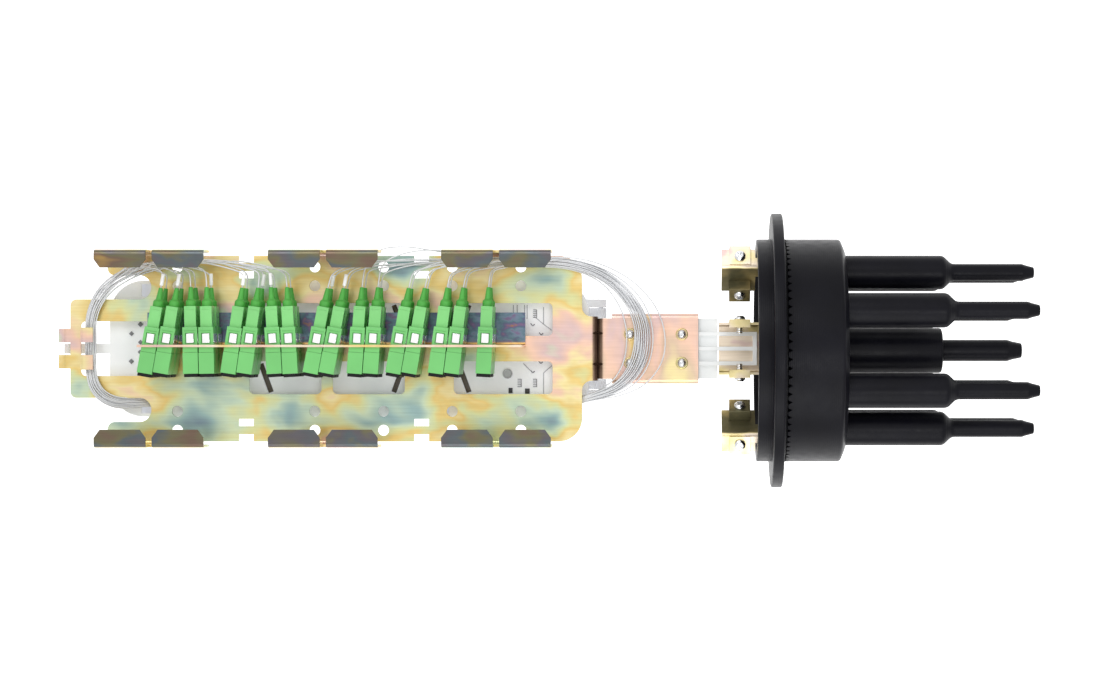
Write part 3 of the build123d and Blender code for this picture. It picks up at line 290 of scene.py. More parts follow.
# A bright orange painted highlight along the bend where the panel's wall meets its leg.
PAINTED_BEND_HIGHLIGHT = ((0.35, (0.55, 0.28, 0.06)), (0.65, (0.85, 0.55, 0.20)))
EDGE_FILM = ((0.35, ROSE), (0.45, PINK), (0.55, PALE), (0.65, GOLD))
panel_metal = plated(
    "panel_metal", EDGE_FILM, 18,
    dark=[("Z", -0.0042, -0.0060, LEG_FILM_AND_SHADE, 120), ("Y", 0.0058, 0.0046, PAINTED_BEND_HIGHLIGHT, 60),
          ("Z", -0.0052, -0.0040, EDGE_FILM, 18)])
CHANNEL_FILM = ((0.28, MINT), (0.36, STRAW), (0.44, (0.66, 0.50, 0.36)), (0.52, PINK),
                (0.60, ROSE), (0.68, GOLD))
CLAMP_FILM = ((0.26, OLIVE), (0.36, (0.34, 0.28, 0.14)), (0.46, STRAW), (0.54, PALE),
              (0.64, PALE), (0.72, ROSE))
# The outer legs of the clamp brackets are shifted to pale films and the inner legs to olive:
# painted reflection on the outer faces, painted shade on the inner ones.
CLAMP_LEG_LIGHT_AND_SHADE = ((0.0, 0.60), (0.11, 0.60), (0.12, 0.34), (0.30, 0.34), (0.31, 0.5), (0.69, 0.5),
           (0.70, 0.34), (0.88, 0.34), (0.89, 0.60), (1.0, 0.60))
channel_metal = plated("channel_metal", CHANNEL_FILM, 18, (1.5, 0.6, 1.0),
                       dark=[("X", -0.1072, -0.1084, PAINTED_CREVICE_SHADE, 40)])
clamp_metal = plated("clamp_metal", CLAMP_FILM, 30,
                     bands=[("Y", -0.0680, 0.0680, 1.1, CLAMP_LEG_LIGHT_AND_SHADE)])
washer_metal = plated("washer_metal", ((0.4, LIME), (0.6, STRAW)), 60)
zinc = Surface("bright_zinc", (0.72, 0.73, 0.75), 0.22, 1.0)
zinc.rough(zinc.span(zinc.noise(700, 3), 0.3, 0.7, 0.14, 0.34))
zinc.bump(zinc.noise(1200, 2), 0.08, 0.0001, 0.0002)
clip_metal = Surface("clip_metal", (0.96, 0.96, 0.97), 0.2, 0.9)
clip_metal.rough(clip_metal.span(clip_metal.noise(500, 2), 0.3, 0.7, 0.12, 0.3))


# %% [markdown]
# Moulded plastics get a fine grain in the bump, an uneven gloss, and edges that the shader rounds.

# %% plastics
def moulded(name, color, rough, edge=0.0003, grain=0.06, drift=0.06, coat=0.0, shine=0.4,
            painted_glow=0.0, rings=False):
    """A plastic. Its glow is painted light: the plastic shines faintly in its own colour, which
    brightens it where shade falls. `rings` gives fine ridges round the X axis in place of the
    grain."""
    surface = Surface(name, color, rough)
    cloud = surface.noise(35, 3, 0.5)
    darker = tuple(c * (1 - drift) for c in color)
    lighter = tuple(min(1.0, c * (1 + drift)) for c in color)
    surface.color(surface.ramp(cloud, (0.35, darker), (0.65, lighter)))
    surface.rough(surface.span(surface.noise(160, 4, 0.6), 0.3, 0.7, rough - 0.06, rough + 0.06))
    if rings:
        ridges = surface.node("ShaderNodeTexWave", wave_type="BANDS", bands_direction="X")
        ridges.inputs["Scale"].default_value = 260
        ridges.inputs["Distortion"].default_value = 0.4
        ridges.inputs["Detail"].default_value = 1.0
        surface.link(surface.place, ridges.inputs["Vector"])
        surface.bump(ridges.outputs["Fac"], 0.22, 0.00012, edge)
    else:
        surface.bump(surface.noise(2200, 2, 0.5), grain, 0.0001, edge)
    if coat:
        surface.shader.inputs["Coat Weight"].default_value = coat
        surface.shader.inputs["Coat Roughness"].default_value = 0.12
    surface.shader.inputs["Specular IOR Level"].default_value = shine
    surface.shader.inputs["Emission Color"].default_value = (*color, 1)
    surface.shader.inputs["Emission Strength"].default_value = painted_glow
    return surface


black_plastic = moulded("black_plastic", (0.005, 0.005, 0.008), 0.36, 0.0006, drift=0.2,
                        shine=0.12, rings=True)
# The white plastics glow faintly in their own colour: painted light that brightens them in shade.
white_plastic = moulded("white_plastic", (0.82, 0.83, 0.85), 0.42, 0.0004, painted_glow=0.17)
cradle_plastic = moulded("cradle_plastic", (0.84, 0.86, 0.86), 0.4, 0.0004, painted_glow=0.08)
lid_plastic = moulded("lid_plastic", (0.74, 0.78, 0.82), 0.3, 0.0004)
# Grey, brown and dark plastics for the tray's relief: painted shade on and in the white tray.
rib_stop_shade_grey = moulded("rib_stop_shade_grey", (0.48, 0.49, 0.52), 0.5)
latch_peg_shade_grey = moulded("latch_peg_shade_grey", (0.22, 0.22, 0.24), 0.5)
slot_shade_brown = moulded("slot_shade_brown", (0.085, 0.070, 0.052), 0.4)
clip_hole_shade = moulded("clip_hole_shade", (0.04, 0.04, 0.045), 0.5)
adapter_green = moulded("adapter_green", (0.18, 0.56, 0.17), 0.34, coat=0.1, shine=0.3)
plug_green = moulded("plug_green", (0.23, 0.64, 0.21), 0.32, coat=0.1, shine=0.3)
boot_green = moulded("boot_green", (0.09, 0.42, 0.07), 0.45, shine=0.3)
dust_black = moulded("dust_black", (0.008, 0.008, 0.008), 0.6, grain=0.1, shine=0.2)
fibre_white = moulded("fibre_white", (0.74, 0.75, 0.77), 0.25, 0.0, shine=0.6)
# The sleeves glow faintly too: painted light.
sleeve_white = moulded("sleeve_white", (0.92, 0.92, 0.92), 0.4, 0.0, painted_glow=0.10)

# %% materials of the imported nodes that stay
NODE_MATERIALS = {
    plate_metal: ["adapter_plate"],
    panel_metal: ["adapter_panel", "panel_rivets"],
    channel_metal: ["channel_bracket"],
    clamp_metal: ["clamp_bracket_upper", "clamp_bracket_lower", "clamp_saddles", "inner_bracket"],
    zinc: ["joint_bolts", "joint_nuts", "tray_hinge_pin", "tray_link_pins"],
    white_plastic: ["splice_tray_1", "splice_tray_2"],
    cradle_plastic: ["cradle"],
    lid_plastic: ["tray_lid"],
}
for surface, names in NODE_MATERIALS.items():
    for name in names:
        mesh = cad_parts[name].data
        mesh.materials.clear()
        mesh.materials.append(surface.material)


# %% [markdown]
# ## Building blocks
# `boxes` joins boxes, cuts others out of them and rounds the edges. `lathe` turns a profile
# about an axis. `place_copies` joins placed copies of one form into a piece that rides on a body
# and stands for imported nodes.

# %% building blocks
X_AXIS = (1, 0, 0)


def mesh_of(made, name):
    """A bmesh as a mesh of that name; the bmesh is freed."""
    mesh = bpy.data.meshes.new(name)
    made.to_mesh(mesh)
    made.free()
    return mesh


def box_mesh(spans):
    """One box from its spans in X, Y and Z, in millimetres."""
    made = bmesh.new()
    bmesh.ops.create_cube(made, size=1.0)
    low = Vector([s[0] for s in spans])
    high = Vector([s[1] for s in spans])
    size = (high - low) * MM
    middle = (high + low) / 2 * MM
    place = Matrix.Translation(middle) @ Matrix.Diagonal((*size, 1))
    bmesh.ops.transform(made, matrix=place, verts=made.verts)
    return mesh_of(made, "box")


def united(meshes, places=None):
    """Meshes joined in one, each moved to its place."""
    made = bmesh.new()
    for i, mesh in enumerate(meshes):
        before = len(made.verts)
        made.from_mesh(mesh)
        made.verts.ensure_lookup_table()
        if places:
            bmesh.ops.transform(made, matrix=places[i], verts=made.verts[before:])
    return mesh_of(made, "united")


def scratch(mesh):
    """An object for modifiers to work on."""
    holder = bpy.data.objects.new("scratch", mesh)
    scene.collection.objects.link(holder)
    return holder


def combine(holder, mesh, operation):
    """A boolean of the object with a mesh. Returns the object that holds the mesh."""
    tool = scratch(mesh)
    step = holder.modifiers.new(operation, "BOOLEAN")
    step.operation = operation
    step.solver = "EXACT"
    step.object = tool
    return tool


def round_edges(holder, radius, segments=2):
    """A bevel of a radius in millimetres on every sharp edge."""
    step = holder.modifiers.new("round", "BEVEL")
    step.width = radius * MM
    step.segments = segments
    step.limit_method = "ANGLE"
    step.angle_limit = math.radians(35)


def applied(made):
    """The mesh of an object as its modifiers and settings make it."""
    bpy.context.view_layer.update()
    depsgraph = bpy.context.evaluated_depsgraph_get()
    return bpy.data.meshes.new_from_object(made.evaluated_get(depsgraph))


def finished(holder, tools=()):
    """The applied mesh of an object; the object and its tools go."""
    mesh = applied(holder)
    for used in (holder, *tools):
        bpy.data.objects.remove(used)
    return mesh


def boxes(solid, cuts=(), radius=0.25, segments=2):
    """Boxes in one mesh, less the cuts, with rounded edges; all in millimetres."""
    holder = scratch(united([box_mesh(spans) for spans in solid]))
    tools = [combine(holder, box_mesh(spans), "DIFFERENCE") for spans in cuts]
    round_edges(holder, radius, segments)
    return finished(holder, tools)


def lathe(profile, steps=32, axis=(0, 1, 0)):
    """A profile of (along, radius) in millimetres, turned about an axis square to Z."""
    along = Vector(axis)
    out = Vector((0, 0, 1))
    made = bmesh.new()
    verts = [made.verts.new((along * a + out * r) * MM) for a, r in profile]
    edges = [made.edges.new(pair) for pair in zip(verts, verts[1:])]
    bmesh.ops.spin(made, geom=verts + edges, cent=(0, 0, 0), axis=along, angle=math.tau,
                   steps=steps, use_duplicate=False)
    bmesh.ops.remove_doubles(made, verts=made.verts, dist=1e-6)
    bmesh.ops.recalc_face_normals(made, faces=made.faces)
    return mesh_of(made, "turned")


def rounded(profile, corners):
    """The profile with small arcs at the corners given as {index: radius}."""
    points = []
    for i, point in enumerate(profile):
        if i not in corners:
            points.append(point)
            continue
        here = Vector(point)
        before = (Vector(profile[i - 1]) - here).normalized() * corners[i]
        after = (Vector(profile[i + 1]) - here).normalized() * corners[i]
        for t in (0, 0.25, 0.5, 0.75, 1):
            points.append(tuple(here + before * (1 - t) ** 2 + after * t ** 2))
    return points


def piece(name, mesh, surface, body, nodes=(), smooth=35):
    """A named object of one mesh that rides on a body and stands for nodes."""
    mesh.name = name
    mesh.materials.clear()
    mesh.materials.append(surface.material)
    made = bpy.data.objects.new(name, mesh)
    scene.collection.objects.link(made)
    for face in mesh.polygons:
        face.use_smooth = True
    mesh.set_sharp_from_angle(angle=math.radians(smooth))
    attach(made, body)
    if nodes:
        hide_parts(*nodes)
    return made


def place_copies(name, mesh, places, surface, body, nodes=(), smooth=20):
    """A copy of the mesh at each place, all in one piece."""
    return piece(name, united([mesh] * len(places), places), surface, body, nodes, smooth)


# %% [markdown]
# ## Base
# The base is turned: a spigot, a flange, a drum whose rim is scalloped behind a narrow groove,
# and a closed nose. Its ports are turned too and are hollow from the inside, so the same
# cutters open the floor of the cavity.

# %% base body
DRUM_STEPS = 324
RIM_X, RIM_R = 8.9, 71
NOTCHES, NOTCH_DEPTH = 81, 2.5
drum = rounded((
    (40.5, 0.01), (40.5, 64), (-9.3, 64), (-9.3, RIM_R), (0, RIM_R), (0, 87.5), (6.9, 87.5),
    (6.9, RIM_R), (7.4, RIM_R), (7.4, 67.6), (RIM_X, 67.6), (RIM_X, RIM_R), (43.6, RIM_R),
    (46.6, 64), (46.6, 0.01)),
    {2: 0.5, 3: 0.8, 5: 1.2, 6: 1.2, 12: 1.6, 13: 1.6})
drum_mesh = lathe(drum, DRUM_STEPS, X_AXIS)
for vertex in drum_mesh.vertices:
    x, y, z = vertex.co
    if abs(x - RIM_X * MM) < 0.1 * MM and math.hypot(y, z) > (RIM_R - 0.1) * MM:
        turn = math.atan2(y, z) * NOTCHES
        vertex.co.x += NOTCH_DEPTH * MM * max(0.0, math.cos(turn))
PORT_ANGLES = [math.radians(a) for a in (28, 68, 112, 152, 208, 248, 292, 332)]
PORT_RING = 53.1 * MM
port_places = [Matrix.Translation((0, PORT_RING * math.sin(a), PORT_RING * math.cos(a)))
               for a in PORT_ANGLES]
port = rounded((
    (41.5, 0.01), (41.5, 10.75), (108, 10.75), (113.5, 5.45), (158, 5.45), (160.5, 4.55),
    (165.5, 3.3), (165.5, 0.01)),
    {2: 2.0, 3: 2.0, 4: 0.6, 5: 0.6, 6: 0.8})
port_mesh = lathe(port, 48, X_AXIS)
bore = ((40, 0.01), (40, 7.25), (104, 7.25), (104, 3), (154, 3), (154, 0.01))
bore_mesh = lathe(bore, 32, X_AXIS)
neck = rounded((
    (100, 0.01), (100, 7.35), (109.5, 6.75), (149, 6.75), (152, 5.75), (158, 4.55), (158, 0.01)),
    {3: 0.8, 4: 0.8, 5: 0.9})
neck_mesh = lathe(neck, 40, X_AXIS)


def oval(low_x, high_x, half_height, half_width, bevel, steps=64):
    """A stadium section along X, its far edge rounded."""
    made = bmesh.new()
    rings = []
    for back, shrink in ((high_x - low_x, 0), (bevel, 0), (bevel * 0.3, bevel * 0.3), (0, bevel)):
        x = high_x - back
        ring = []
        for i in range(steps):
            turn = math.tau * i / steps
            r = half_width - shrink
            y = r * math.cos(turn)
            z = r * math.sin(turn) + math.copysign(half_height - half_width, math.sin(turn))
            ring.append(made.verts.new((x * MM, y * MM, z * MM)))
        rings.append(ring)
    for a, b in zip(rings, rings[1:]):
        for i in range(steps):
            after = (i + 1) % steps
            made.faces.new((a[i], a[after], b[after], b[i]))
    made.faces.new(rings[0])
    made.faces.new(rings[-1])
    bmesh.ops.recalc_face_normals(made, faces=made.faces)
    return mesh_of(made, "oval")


NECK_Z = 0.018
still = Matrix.Identity(4)
added = [(port_mesh, place) for place in port_places]
added.append((oval(41.5, 107.5, 31, 14.25, 1.5), still))
added += [(neck_mesh, Matrix.Translation((0, 0, z))) for z in (NECK_Z, -NECK_Z)]
bored = [(bore_mesh, place) for place in port_places]
bored.append((oval(40, 104, 27.5, 10.75, 0.2), still))
holder = scratch(drum_mesh)
base_tools = [combine(holder, united([mesh], [place]), operation)
              for forms, operation in ((added, "UNION"), (bored, "DIFFERENCE"))
              for mesh, place in forms]
base_mesh = finished(holder, base_tools)
piece("base_moulding", base_mesh, black_plastic, "base", ["base_body"], smooth=40)

# %% [markdown]
# ## Adapters and plugs
# One adapter, plug, boot, clip and dust plug are made about the panel's face with +Y along the
# plug, then copied to every seat. A pair's seats share a tilt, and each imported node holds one
# pair, so each piece here does too.

# %% one of each
adapter_mesh = boxes(
    [((-4.8, 4.8), (-16.8, -3.4), (-6.55, 6.55)), ((-4.65, 4.65), (-3.3, 12.7), (-6.35, 6.35))],
    [((-3.85, 3.85), (-18, 14), (-4.65, 4.65)), ((-2.95, 2.95), (2.2, 9.0), (4.9, 7)),
     ((-2.95, 2.95), (2.2, 9.0), (-7, -4.9)), ((-3.6, 3.6), (10.2, 10.5), (6.1, 7))], 0.2)
PLUG_HALF = 3.7
grips = [((side * PLUG_HALF - 0.25, side * PLUG_HALF + 0.25), (y, y + 0.9), (-3.6, 3.6))
         for side in (-1, 1) for y in (14.5, 16.3, 18.1, 19.9, 21.7)]
grooves = [((-2.6, 2.6), (23.6, 24.0), face) for face in ((4.35, 5), (-5, -4.35))]
plug_mesh = boxes([((-PLUG_HALF, PLUG_HALF), (4.4, 26.0), (-4.5, 4.5))], grips + grooves, 0.45, 3)
clip_mesh = boxes(
    [((-2.25, 2.25), (2.7, 8.5), (4.95, 6.5)), ((-2.25, 2.25), (2.7, 8.5), (-6.5, -4.95)),
     ((4.66, 4.85), (2.7, 8.5), (-5.2, 5.2)), ((-4.85, -4.66), (2.7, 8.5), (-5.2, 5.2))],
    radius=0.09)
dust_mesh = boxes(
    [((-4.35, 4.35), (-18.9, -16.85), (-6.05, 6.05)), ((-3.65, 3.65), (-17, -9.8), (-4.45, 4.45))],
    [((-2.4, 2.4), (-19.5, -18.4), (-3.4, 3.4))], 0.35)
BOOT_END = 38.1
boot_profile = rounded((
    (26.0, 0.01), (26.0, 3.35), (29.2, 3.35), (30.0, 2.7), (30.5, 2.1), (BOOT_END, 1.3),
    (BOOT_END, 0.5), (37.0, 0.5)),
    {1: 0.3, 2: 0.4, 5: 0.4})
boot_mesh = lathe(boot_profile, 28)

# %% every seat
# The height of each layer, and for each pair its middle, its spacing and its tilt in degrees.
LAYERS = {"lower": 0.4, "upper": 14.4}
PAIRS = ((-388.3, 10.1, 9.6), (-362.2, 10.1, -1.3), (-335.9, 10.1, 8.3), (-310.0, 10.1, -3.2),
         (-283.3, 10.1, 10.8), (-257.3, 10.1, 4.3), (-231.3, 10.1, 9.9), (-205.2, 10.1, 7.4),
         (-181.3, 0.0, 3.1))
PANEL_Y = 2.1


def seats(pair, z):
    """The places of a pair's adapters; a spacing of 0 means a single one."""
    x, spacing, tilt = pair
    offsets = (-spacing / 2, spacing / 2) if spacing else (0,)
    turn = Matrix.Rotation(math.radians(-tilt), 4, "Z")
    return [Matrix.Translation(Vector((x + offset, PANEL_Y, z)) * MM) @ turn for offset in offsets]


every_seat = []
for layer, z in LAYERS.items():
    for number, pair in enumerate(PAIRS, start=1):
        places = seats(pair, z)
        every_seat += [(layer, number, place) for place in places]
        place_copies(f"adapter_bodies_{layer}_{number}", adapter_mesh, places, adapter_green,
                     "base", [f"adapters_{layer}_{number}"])
        place_copies(f"plug_bodies_{layer}_{number}", plug_mesh, places, plug_green,
                     "base", [f"plugs_{layer}_{number}"])
all_places = [place for layer, number, place in every_seat]
place_copies("boots", boot_mesh, all_places, boot_green,
             "base", ["plug_boots"], smooth=30)
place_copies("spring_clips", clip_mesh, all_places, clip_metal,
             "base", ["adapter_clips"])
place_copies("dust_stoppers", dust_mesh, all_places, dust_black,
             "base", ["dust_plugs"])

# %% [markdown]
# ## Screws
# Pan heads with a cross recess. Each seat is a place and a direction for the head; the packed
# nodes of the screws are replaced.

# %% screws
def screw_mesh(shank, head=3.6):
    """A cross recess screw about the Y axis, its seat at 0; the head's radius in millimetres."""
    thread, root, half_pitch = 1.95, 1.62, 0.7
    tip = [(-shank, 0.01), (-shank, 1.6), (-shank + 0.5, thread)]
    turns = [(-shank + 1.0 + half_pitch * i, thread if i % 2 else root)
             for i in range(int((shank - 2) / half_pitch))]
    top = rounded(((0, thread), (0, head), (1.1, head), (2.4, head - 1.4), (2.4, 0.01)),
                  {1: 0.3, 2: 0.5, 3: 0.4})
    holder = scratch(lathe(tip + turns + top, 32))
    arm = head - 1.7
    recess = (((-arm, arm), (1.3, 3), (-0.4, 0.4)), ((-0.4, 0.4), (1.3, 3), (-arm, arm)))
    tools = [combine(holder, box_mesh(spans), "DIFFERENCE") for spans in recess]
    return finished(holder, tools)


def seat_place(point, out, spin=20):
    """The matrix that stands a screw's +Y axis along `out` at a point in millimetres."""
    turn = Vector((0, 1, 0)).rotation_difference(Vector(out)).to_matrix().to_4x4()
    spun = Matrix.Rotation(math.radians(spin), 4, "Y")
    return Matrix.Translation(Vector(point) * MM) @ turn @ spun


CENTRE_Y = 1.2
CHANNEL_TOP = -8
channel_spots = ((-90.2, -9.25), (-90.2, 9.25), (-56.9, -9.25), (-56.9, 9.25))
channel_seats = [seat_place((x, CENTRE_Y + y, CHANNEL_TOP), (0, 0, 1), 30 + 25 * i)
                 for i, (x, y) in enumerate(channel_spots)]
place_copies("channel_fixings", screw_mesh(14, 2.75), channel_seats, zinc,
             "base", ["channel_screws"], 30)
washer = rounded(((0.0, 3.1), (1.0, 3.1), (1.0, 3.5), (0.0, 4.0)), {1: 0.15, 2: 0.15})
place_copies("channel_washers", lathe(washer + [washer[0]], 36), channel_seats, washer_metal,
             "base", smooth=30)

# The clamp brackets are angles, in Y and Z: a ridge, an outer and an inner edge. A saddle's
# screw stands 5.4 mm in from its edge, square to the leg and on top of the saddle.
RIDGE, OUTER, INNER = Vector((53.1, 10.0)), Vector((64.4, 6.0)), Vector((38.4, -9.0))
SADDLE_X, EDGE_GAP, SADDLE = -19.8, 5.4, 1.2
bracket_seats = []
for side in (-1, 1):
    cradle_seat = (SADDLE_X, CENTRE_Y + side * (16.7 + 2.0), 3 - EDGE_GAP)
    bracket_seats.append(seat_place(cradle_seat, (0, side, 0), 15))
    for edge, lift in ((OUTER, 0.8), (INNER, 6.5)):
        away = (edge - RIDGE).normalized()
        up = Vector((-away.y, away.x)) if away.x > 0 else Vector((away.y, -away.x))
        seat = edge - away * EDGE_GAP + up * (lift + SADDLE)
        bracket_seats.append(seat_place((SADDLE_X, side * seat.x, seat.y),
                                        (0, side * up.x, up.y), 50))
for y, z in ((26, -5), (-26, -5), (52, -3), (-52, -3)):
    bracket_seats.append(seat_place((38.9, y, z), (-1, 0, 0)))
place_copies("bracket_fixings", screw_mesh(9), bracket_seats, zinc,
             "base", ["bracket_screws"], 30)

# %% [markdown]
# ## Relief of the upper tray
# Through the plate's windows the upper tray shows low ribs, small latches, a stop peg and, at its
# left end, a field of pegs that stand on their corners. All ride on the tray. They are grey and
# dark as painted shade, and dark strips and blocks paint the shade in its slots and holes.

# %% tray relief
TRAY_TOP = -16.0
SUNK = 0.1


def bar(start, end, width, height=0.6):
    """A low rib from one point of the tray's top to another; below the top if under 0."""
    a, b = Vector(start), Vector(end)
    length = (b - a).length
    low, high = min(0, height) - SUNK, max(0, height) - SUNK
    mesh = box_mesh(((0, length), (-width / 2, width / 2), (low, high)))
    middle = Matrix.Translation(Vector((a.x, a.y, TRAY_TOP)) * MM)
    mesh.transform(middle @ Matrix.Rotation(math.atan2(b.y - a.y, b.x - a.x), 4, "Z"))
    return mesh


def relief(name, bars, surface, radius=0.12):
    """Ribs in one piece with rounded edges."""
    holder = scratch(united([bar(*values) for values in bars]))
    round_edges(holder, radius)
    piece(name, finished(holder), surface, "tray_1")


# The ribs at the right windows: a funnel that leads the fibres in, and four upright ribs. The ribs
# are grey: painted shade on white ribs.
ribs = (((-146.4, 7.5), (-146.4, 4.0)), ((-152.5, 22.0), (-146.4, 17.0)),
        ((-146.4, 17.0), (-141.2, 13.2)), ((-146.4, 28.0), (-146.4, 17.0)),
        ((-146.4, -28.0), (-146.4, -14.6)), ((-146.4, -14.6), (-141.2, -10.0)),
        ((-159.4, -8.4), (-154.6, -13.4)), ((-165.9, 29.5), (-165.9, 22.5)),
        ((-163.4, 29.5), (-163.4, 22.5)), ((-158.6, 29.5), (-158.6, 20.5)),
        ((-157.0, 29.5), (-157.0, 20.5)))
relief("tray_ribs", [(a, b, 0.55) for a, b in ribs], rib_stop_shade_grey)
# Latches: four small hooks, and three combs of five teeth on a back, all grey as painted shade.
latches = []
for x, y in ((-153.4, 16.4), (-148.0, 10.6), (-153.4, -14.0), (-148.2, -8.0)):
    latches += [((x - 1.3, y + 1.1), (x, y - 0.5), 0.6), ((x + 1.3, y + 0.6), (x, y - 0.5), 0.6)]
for x, y in ((-162.0, -21.0), (-152.0, -21.0), (-152.0, 23.8)):
    latches += [((x - 1.2, y + step), (x + 1.2, y + step), 0.4)
                for step in (-2.4, -1.2, 0, 1.2, 2.4)]
    latches.append(((x + 1.2, y - 2.6), (x + 1.2, y + 2.6), 0.4))
relief("tray_latches", latches, latch_peg_shade_grey, 0.08)
# Dark grey blocks at the two clips: painted shade in the holes under them.
clips = [((-169.0, -25.9), (-166.4, -25.9), 3.4, 0.9), ((-158.4, -26.3), (-155.4, -26.3), 3.4, 0.9)]
relief("tray_clip_hole_shade", clips, clip_hole_shade)
# Dark brown strips fill the tray's slanted slots from below, painted shade in the slots: (place
# along X, turn in degrees).
slot_shades = []
for x, degrees in ((-326.0, 70), (-240.0, -70), (-198.0, 70)):
    for side in (-1, 1):
        turn = math.radians(side * degrees)
        way = Vector((math.cos(turn), math.sin(turn))) * 9.8
        middle = Vector((x, CENTRE_Y + side * 19.0))
        slot_shades.append((middle - way, middle + way, 3.2, -0.9))
relief("tray_slot_shades", slot_shades, slot_shade_brown, 0.1)
# Square pegs that stand on a corner, grey as painted shade: (X, Y, side).
pegs = []
for x, y, size in ((-407.1, 16.9, 2.6), (-412.9, 10.9, 2.3), (-407.1, 5.3, 2.3),
                   (-407.4, -1.0, 2.2), (-413.0, -7.0, 2.5)):
    reach = size / 2 ** 0.5 / 2
    pegs.append(((x - reach, y - reach), (x + reach, y + reach), size, 0.9))
relief("tray_pegs", pegs, latch_peg_shade_grey, 0.2)
# The stop peg is grey as well: painted shade.
stop_profile = rounded(((0, 0.01), (0, 3.2), (1.2, 3.2), (1.2, 2.5), (0.8, 2.3), (0.8, 0.01)),
                       {2: 0.2, 3: 0.2})
stop_place = seat_place((-169.6, -15.0, TRAY_TOP), (0, 0, 1))
place_copies("tray_stop", lathe(stop_profile, 36), [stop_place], rib_stop_shade_grey, "tray_1")

# %% [markdown]
# ## Fibres
# Each pigtail is a stiff white fibre of 0.9 mm. It leaves its boot, bends into the channel
# under the wings, runs to the left or the right end and turns back under the plate, where it
# goes down into the upper tray. All share one of two routes, and each keeps its own place in
# the bundle's section, so that they lie side by side instead of through each other. The third
# and fourth numbers of a route point are the bundle's height and how far it spreads.

# %% routes
LEFT_ROUTE = (
    (-322, 57.4, -4.6, 0.9), (-352, 56.8, -4.6, 1.0), (-380, 56.8, -4.6, 1.1),
    (-406, 52.5, -4.4, 1.4), (-427, 41, -4.2, 1.6), (-436.4, 23, -4.2, 1.3), (-436.2, 6, -4.2, 1.2),
    (-436.4, -13, -4.2, 1.2), (-433.6, -25.4, -4.6, 1.4), (-423, -33.4, -5.4, 1.4),
    (-411, -34.0, -9.4, 1.1), (-402.5, -33.8, -13.4, 0.7), (-397.5, -35.2, -17.0, 0.5),
    (-391, -35.6, -21, 0.5))
RIGHT_ROUTE = (
    (-246, 57, -4.6, 0.9), (-216, 57.4, -4.6, 0.9), (-184, 56.8, -4.6, 0.9),
    (-152, 57.4, -4.6, 1.0), (-126, 56.0, -4.4, 1.1), (-105, 48, -3.8, 1.3), (-90, 34, -3.6, 1.7),
    (-82, 17, -3.6, 2.0), (-82, -1, -3.6, 2.1), (-88, -15, -3.8, 1.8), (-98, -24.0, -4.8, 1.3),
    (-110, -28.6, -10.2, 0.9), (-123, -32.2, -13.2, 0.6), (-136, -34.8, -15.0, 0.5),
    (-143.5, -36.2, -18.6, 0.5), (-149, -37, -21.5, 0.5))
FIBRE = 0.9
INSIDE = 4
LAST_LEFT_PAIR = 4
UPPER_LOOP_PAIR = 6
COLUMNS = 6
WANDER = 0.25
# Right-hand fibres that leave the bundle, and by how much; and the seats with a sleeve.
STRAYS = {0: -5.0, 17: 9.0, 11: 2.0}
SLEEVED = (3, 5, 8, 17, 18, 21, 23, 26)


def along(route, shift, height, stray):
    """The route's points moved to the left of their way by a share of the spread, and up. A stray
    leaves the others by so many millimetres where the bundle spreads most."""
    points = []
    for i, (x, y, z, spread) in enumerate(route):
        before = Vector(route[max(i - 1, 0)][:2])
        after = Vector(route[min(i + 1, len(route) - 1)][:2])
        way = (after - before).normalized()
        left = Vector((-way.y, way.x))
        aside = left * (shift + WANDER * math.sin(1.7 * i + 9 * shift)) * spread
        aside = aside + left * stray * max(0.0, spread - 1.0) / 1.1
        rise = height * min(1.0, 0.4 + 0.4 * spread)
        points.append(Vector((x + aside.x, y + aside.y, z + rise)))
    return points


def fibre(name, points):
    """One smooth fibre through control points in millimetres, with its length in metres."""
    curve = bpy.data.curves.new(name, "CURVE")
    curve.dimensions = "3D"
    spline = curve.splines.new("NURBS")
    spline.points.add(len(points) - 1)
    for control, point in zip(spline.points, points):
        control.co = (*(point * MM), 1)
    spline.order_u = 3
    spline.use_endpoint_u = True
    spline.resolution_u = 6
    made = bpy.data.objects.new(name, curve)
    scene.collection.objects.link(made)
    line = applied(made)
    ends = [[line.vertices[i].co for i in edge.vertices] for edge in line.edges]
    length = sum((a - b).length for a, b in ends)
    bpy.data.meshes.remove(line)
    curve.bevel_depth = FIBRE / 2 * MM
    curve.bevel_resolution = 1
    curve.materials.append(fibre_white.material)
    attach(made, "base")
    return made, length


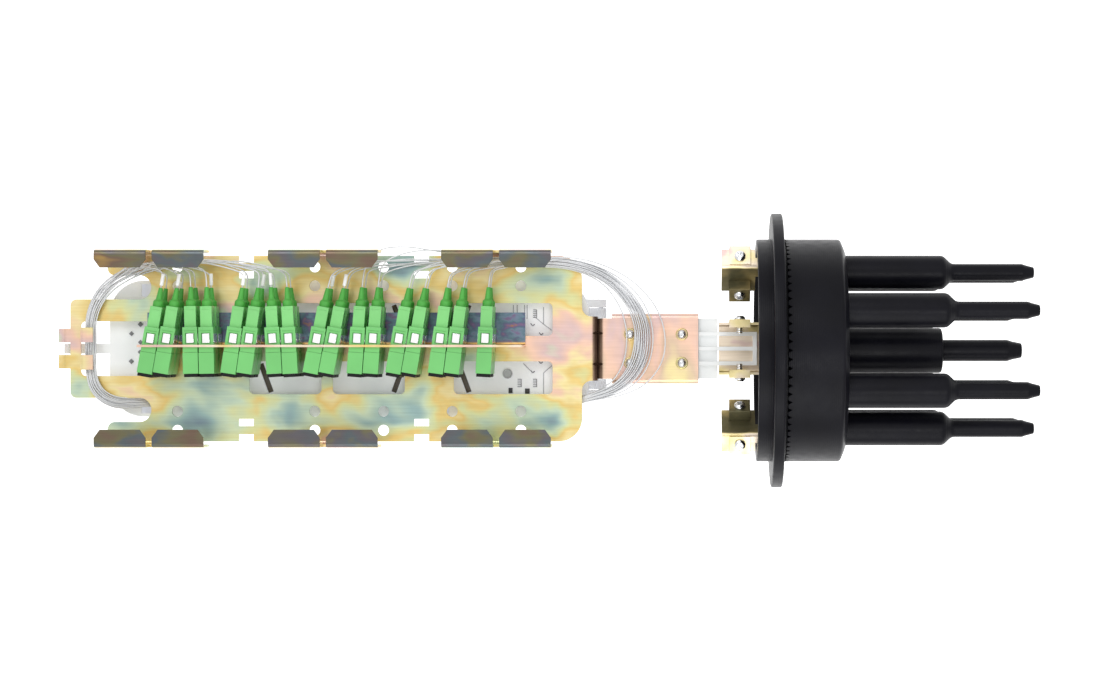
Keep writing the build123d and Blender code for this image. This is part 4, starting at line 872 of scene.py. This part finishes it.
# %% pigtails
left_count, right_count = 0, 0
sleeves = []
for order, (layer, number, place) in enumerate(every_seat):
    start = place @ Vector((0, (BOOT_END - INSIDE) * MM, 0)) / MM
    way = (place.to_3x3() @ Vector((0, 1, 0))).normalized()
    exit_point = start + way * INSIDE
    turn_left = number <= LAST_LEFT_PAIR
    if turn_left:
        slot_number = left_count
        left_count += 1
        route, sign = LEFT_ROUTE, -1
    else:
        slot_number = right_count
        right_count += 1
        route, sign = RIGHT_ROUTE, 1
    shift = slot_number % COLUMNS - 2.8 + slot_number // COLUMNS / 3
    height = (slot_number // COLUMNS - 1) * 1.1
    stray = 0 if turn_left else STRAYS.get(slot_number, 0)
    lane = along(route, shift, height, stray)
    x = exit_point.x
    reach = 30 + 4 * (slot_number % 4)
    top = 10 if layer == "upper" else 1
    bend = [start, exit_point + way * 4,
            exit_point + way * (9.5 + slot_number % 3) + Vector((sign, 0, -0.5)),
            Vector((x + sign * (9 + slot_number % 4), 53 + shift * 0.4, top + height * 0.5)),
            Vector((x + sign * (reach - 8), 57 + shift * 0.8, (top - 5) / 2 + height))]
    if number == UPPER_LOOP_PAIR and layer == "upper":
        # These two rise over the wing before they join the bundle.
        reach = 62
        bend[2:] = [exit_point + way * 14 + Vector((1, 0, 0)), Vector((x + 9, 62 + shift, 11)),
                    Vector((x + 26, 65.5 + shift * 0.5, 5)), Vector((x + 46, 63.5, 0))]
    rest = [p for p in lane if (p.x - x) * sign > reach or p.y < 40]
    name = f"pigtail_{'left' if turn_left else 'right'}_{slot_number + 1}"
    made, length = fibre(name, bend + rest)
    if slot_number == 0:
        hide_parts("fibre_bundle_left" if turn_left else "fibre_bundle_right")
    if order in SLEEVED:
        sleeves.append(place @ Matrix.Translation((0, (BOOT_END + 1.5) * MM, 0)))
print("pigtails:", left_count, "left,", right_count, "right")
sleeve = rounded(((0, 0.5), (0, 1.15), (7.5, 1.15), (7.5, 0.5)), {1: 0.3, 2: 0.3})
place_copies("fibre_sleeves", lathe(sleeve + [sleeve[0]], 20), sleeves, sleeve_white,
             "base")

# %% [markdown]
# ## Floor
# A plain pale floor. It lies so low that the trays clear it when they hang straight down.

# %% floor
paper = Surface("paper", (1, 1, 1), 0.9)
paper.shader.inputs["Emission Color"].default_value = (1, 1, 1, 1)
paper.link(seen_directly(paper.tree, 0.0, FLOOR_WHITE), paper.shader.inputs["Emission Strength"])
FLOOR_HALF = 4.0
FLOOR_Z = -0.43
square = [(x * FLOOR_HALF, y * FLOOR_HALF, 0) for x, y in ((-1, -1), (1, -1), (1, 1), (-1, 1))]
floor_mesh = bpy.data.meshes.new("floor")
floor_mesh.from_pydata(square, [], [(0, 1, 2, 3)])
floor_mesh.materials.append(paper.material)
floor = bpy.data.objects.new("floor", floor_mesh)
floor.location.z = FLOOR_Z
scene.collection.objects.link(floor)
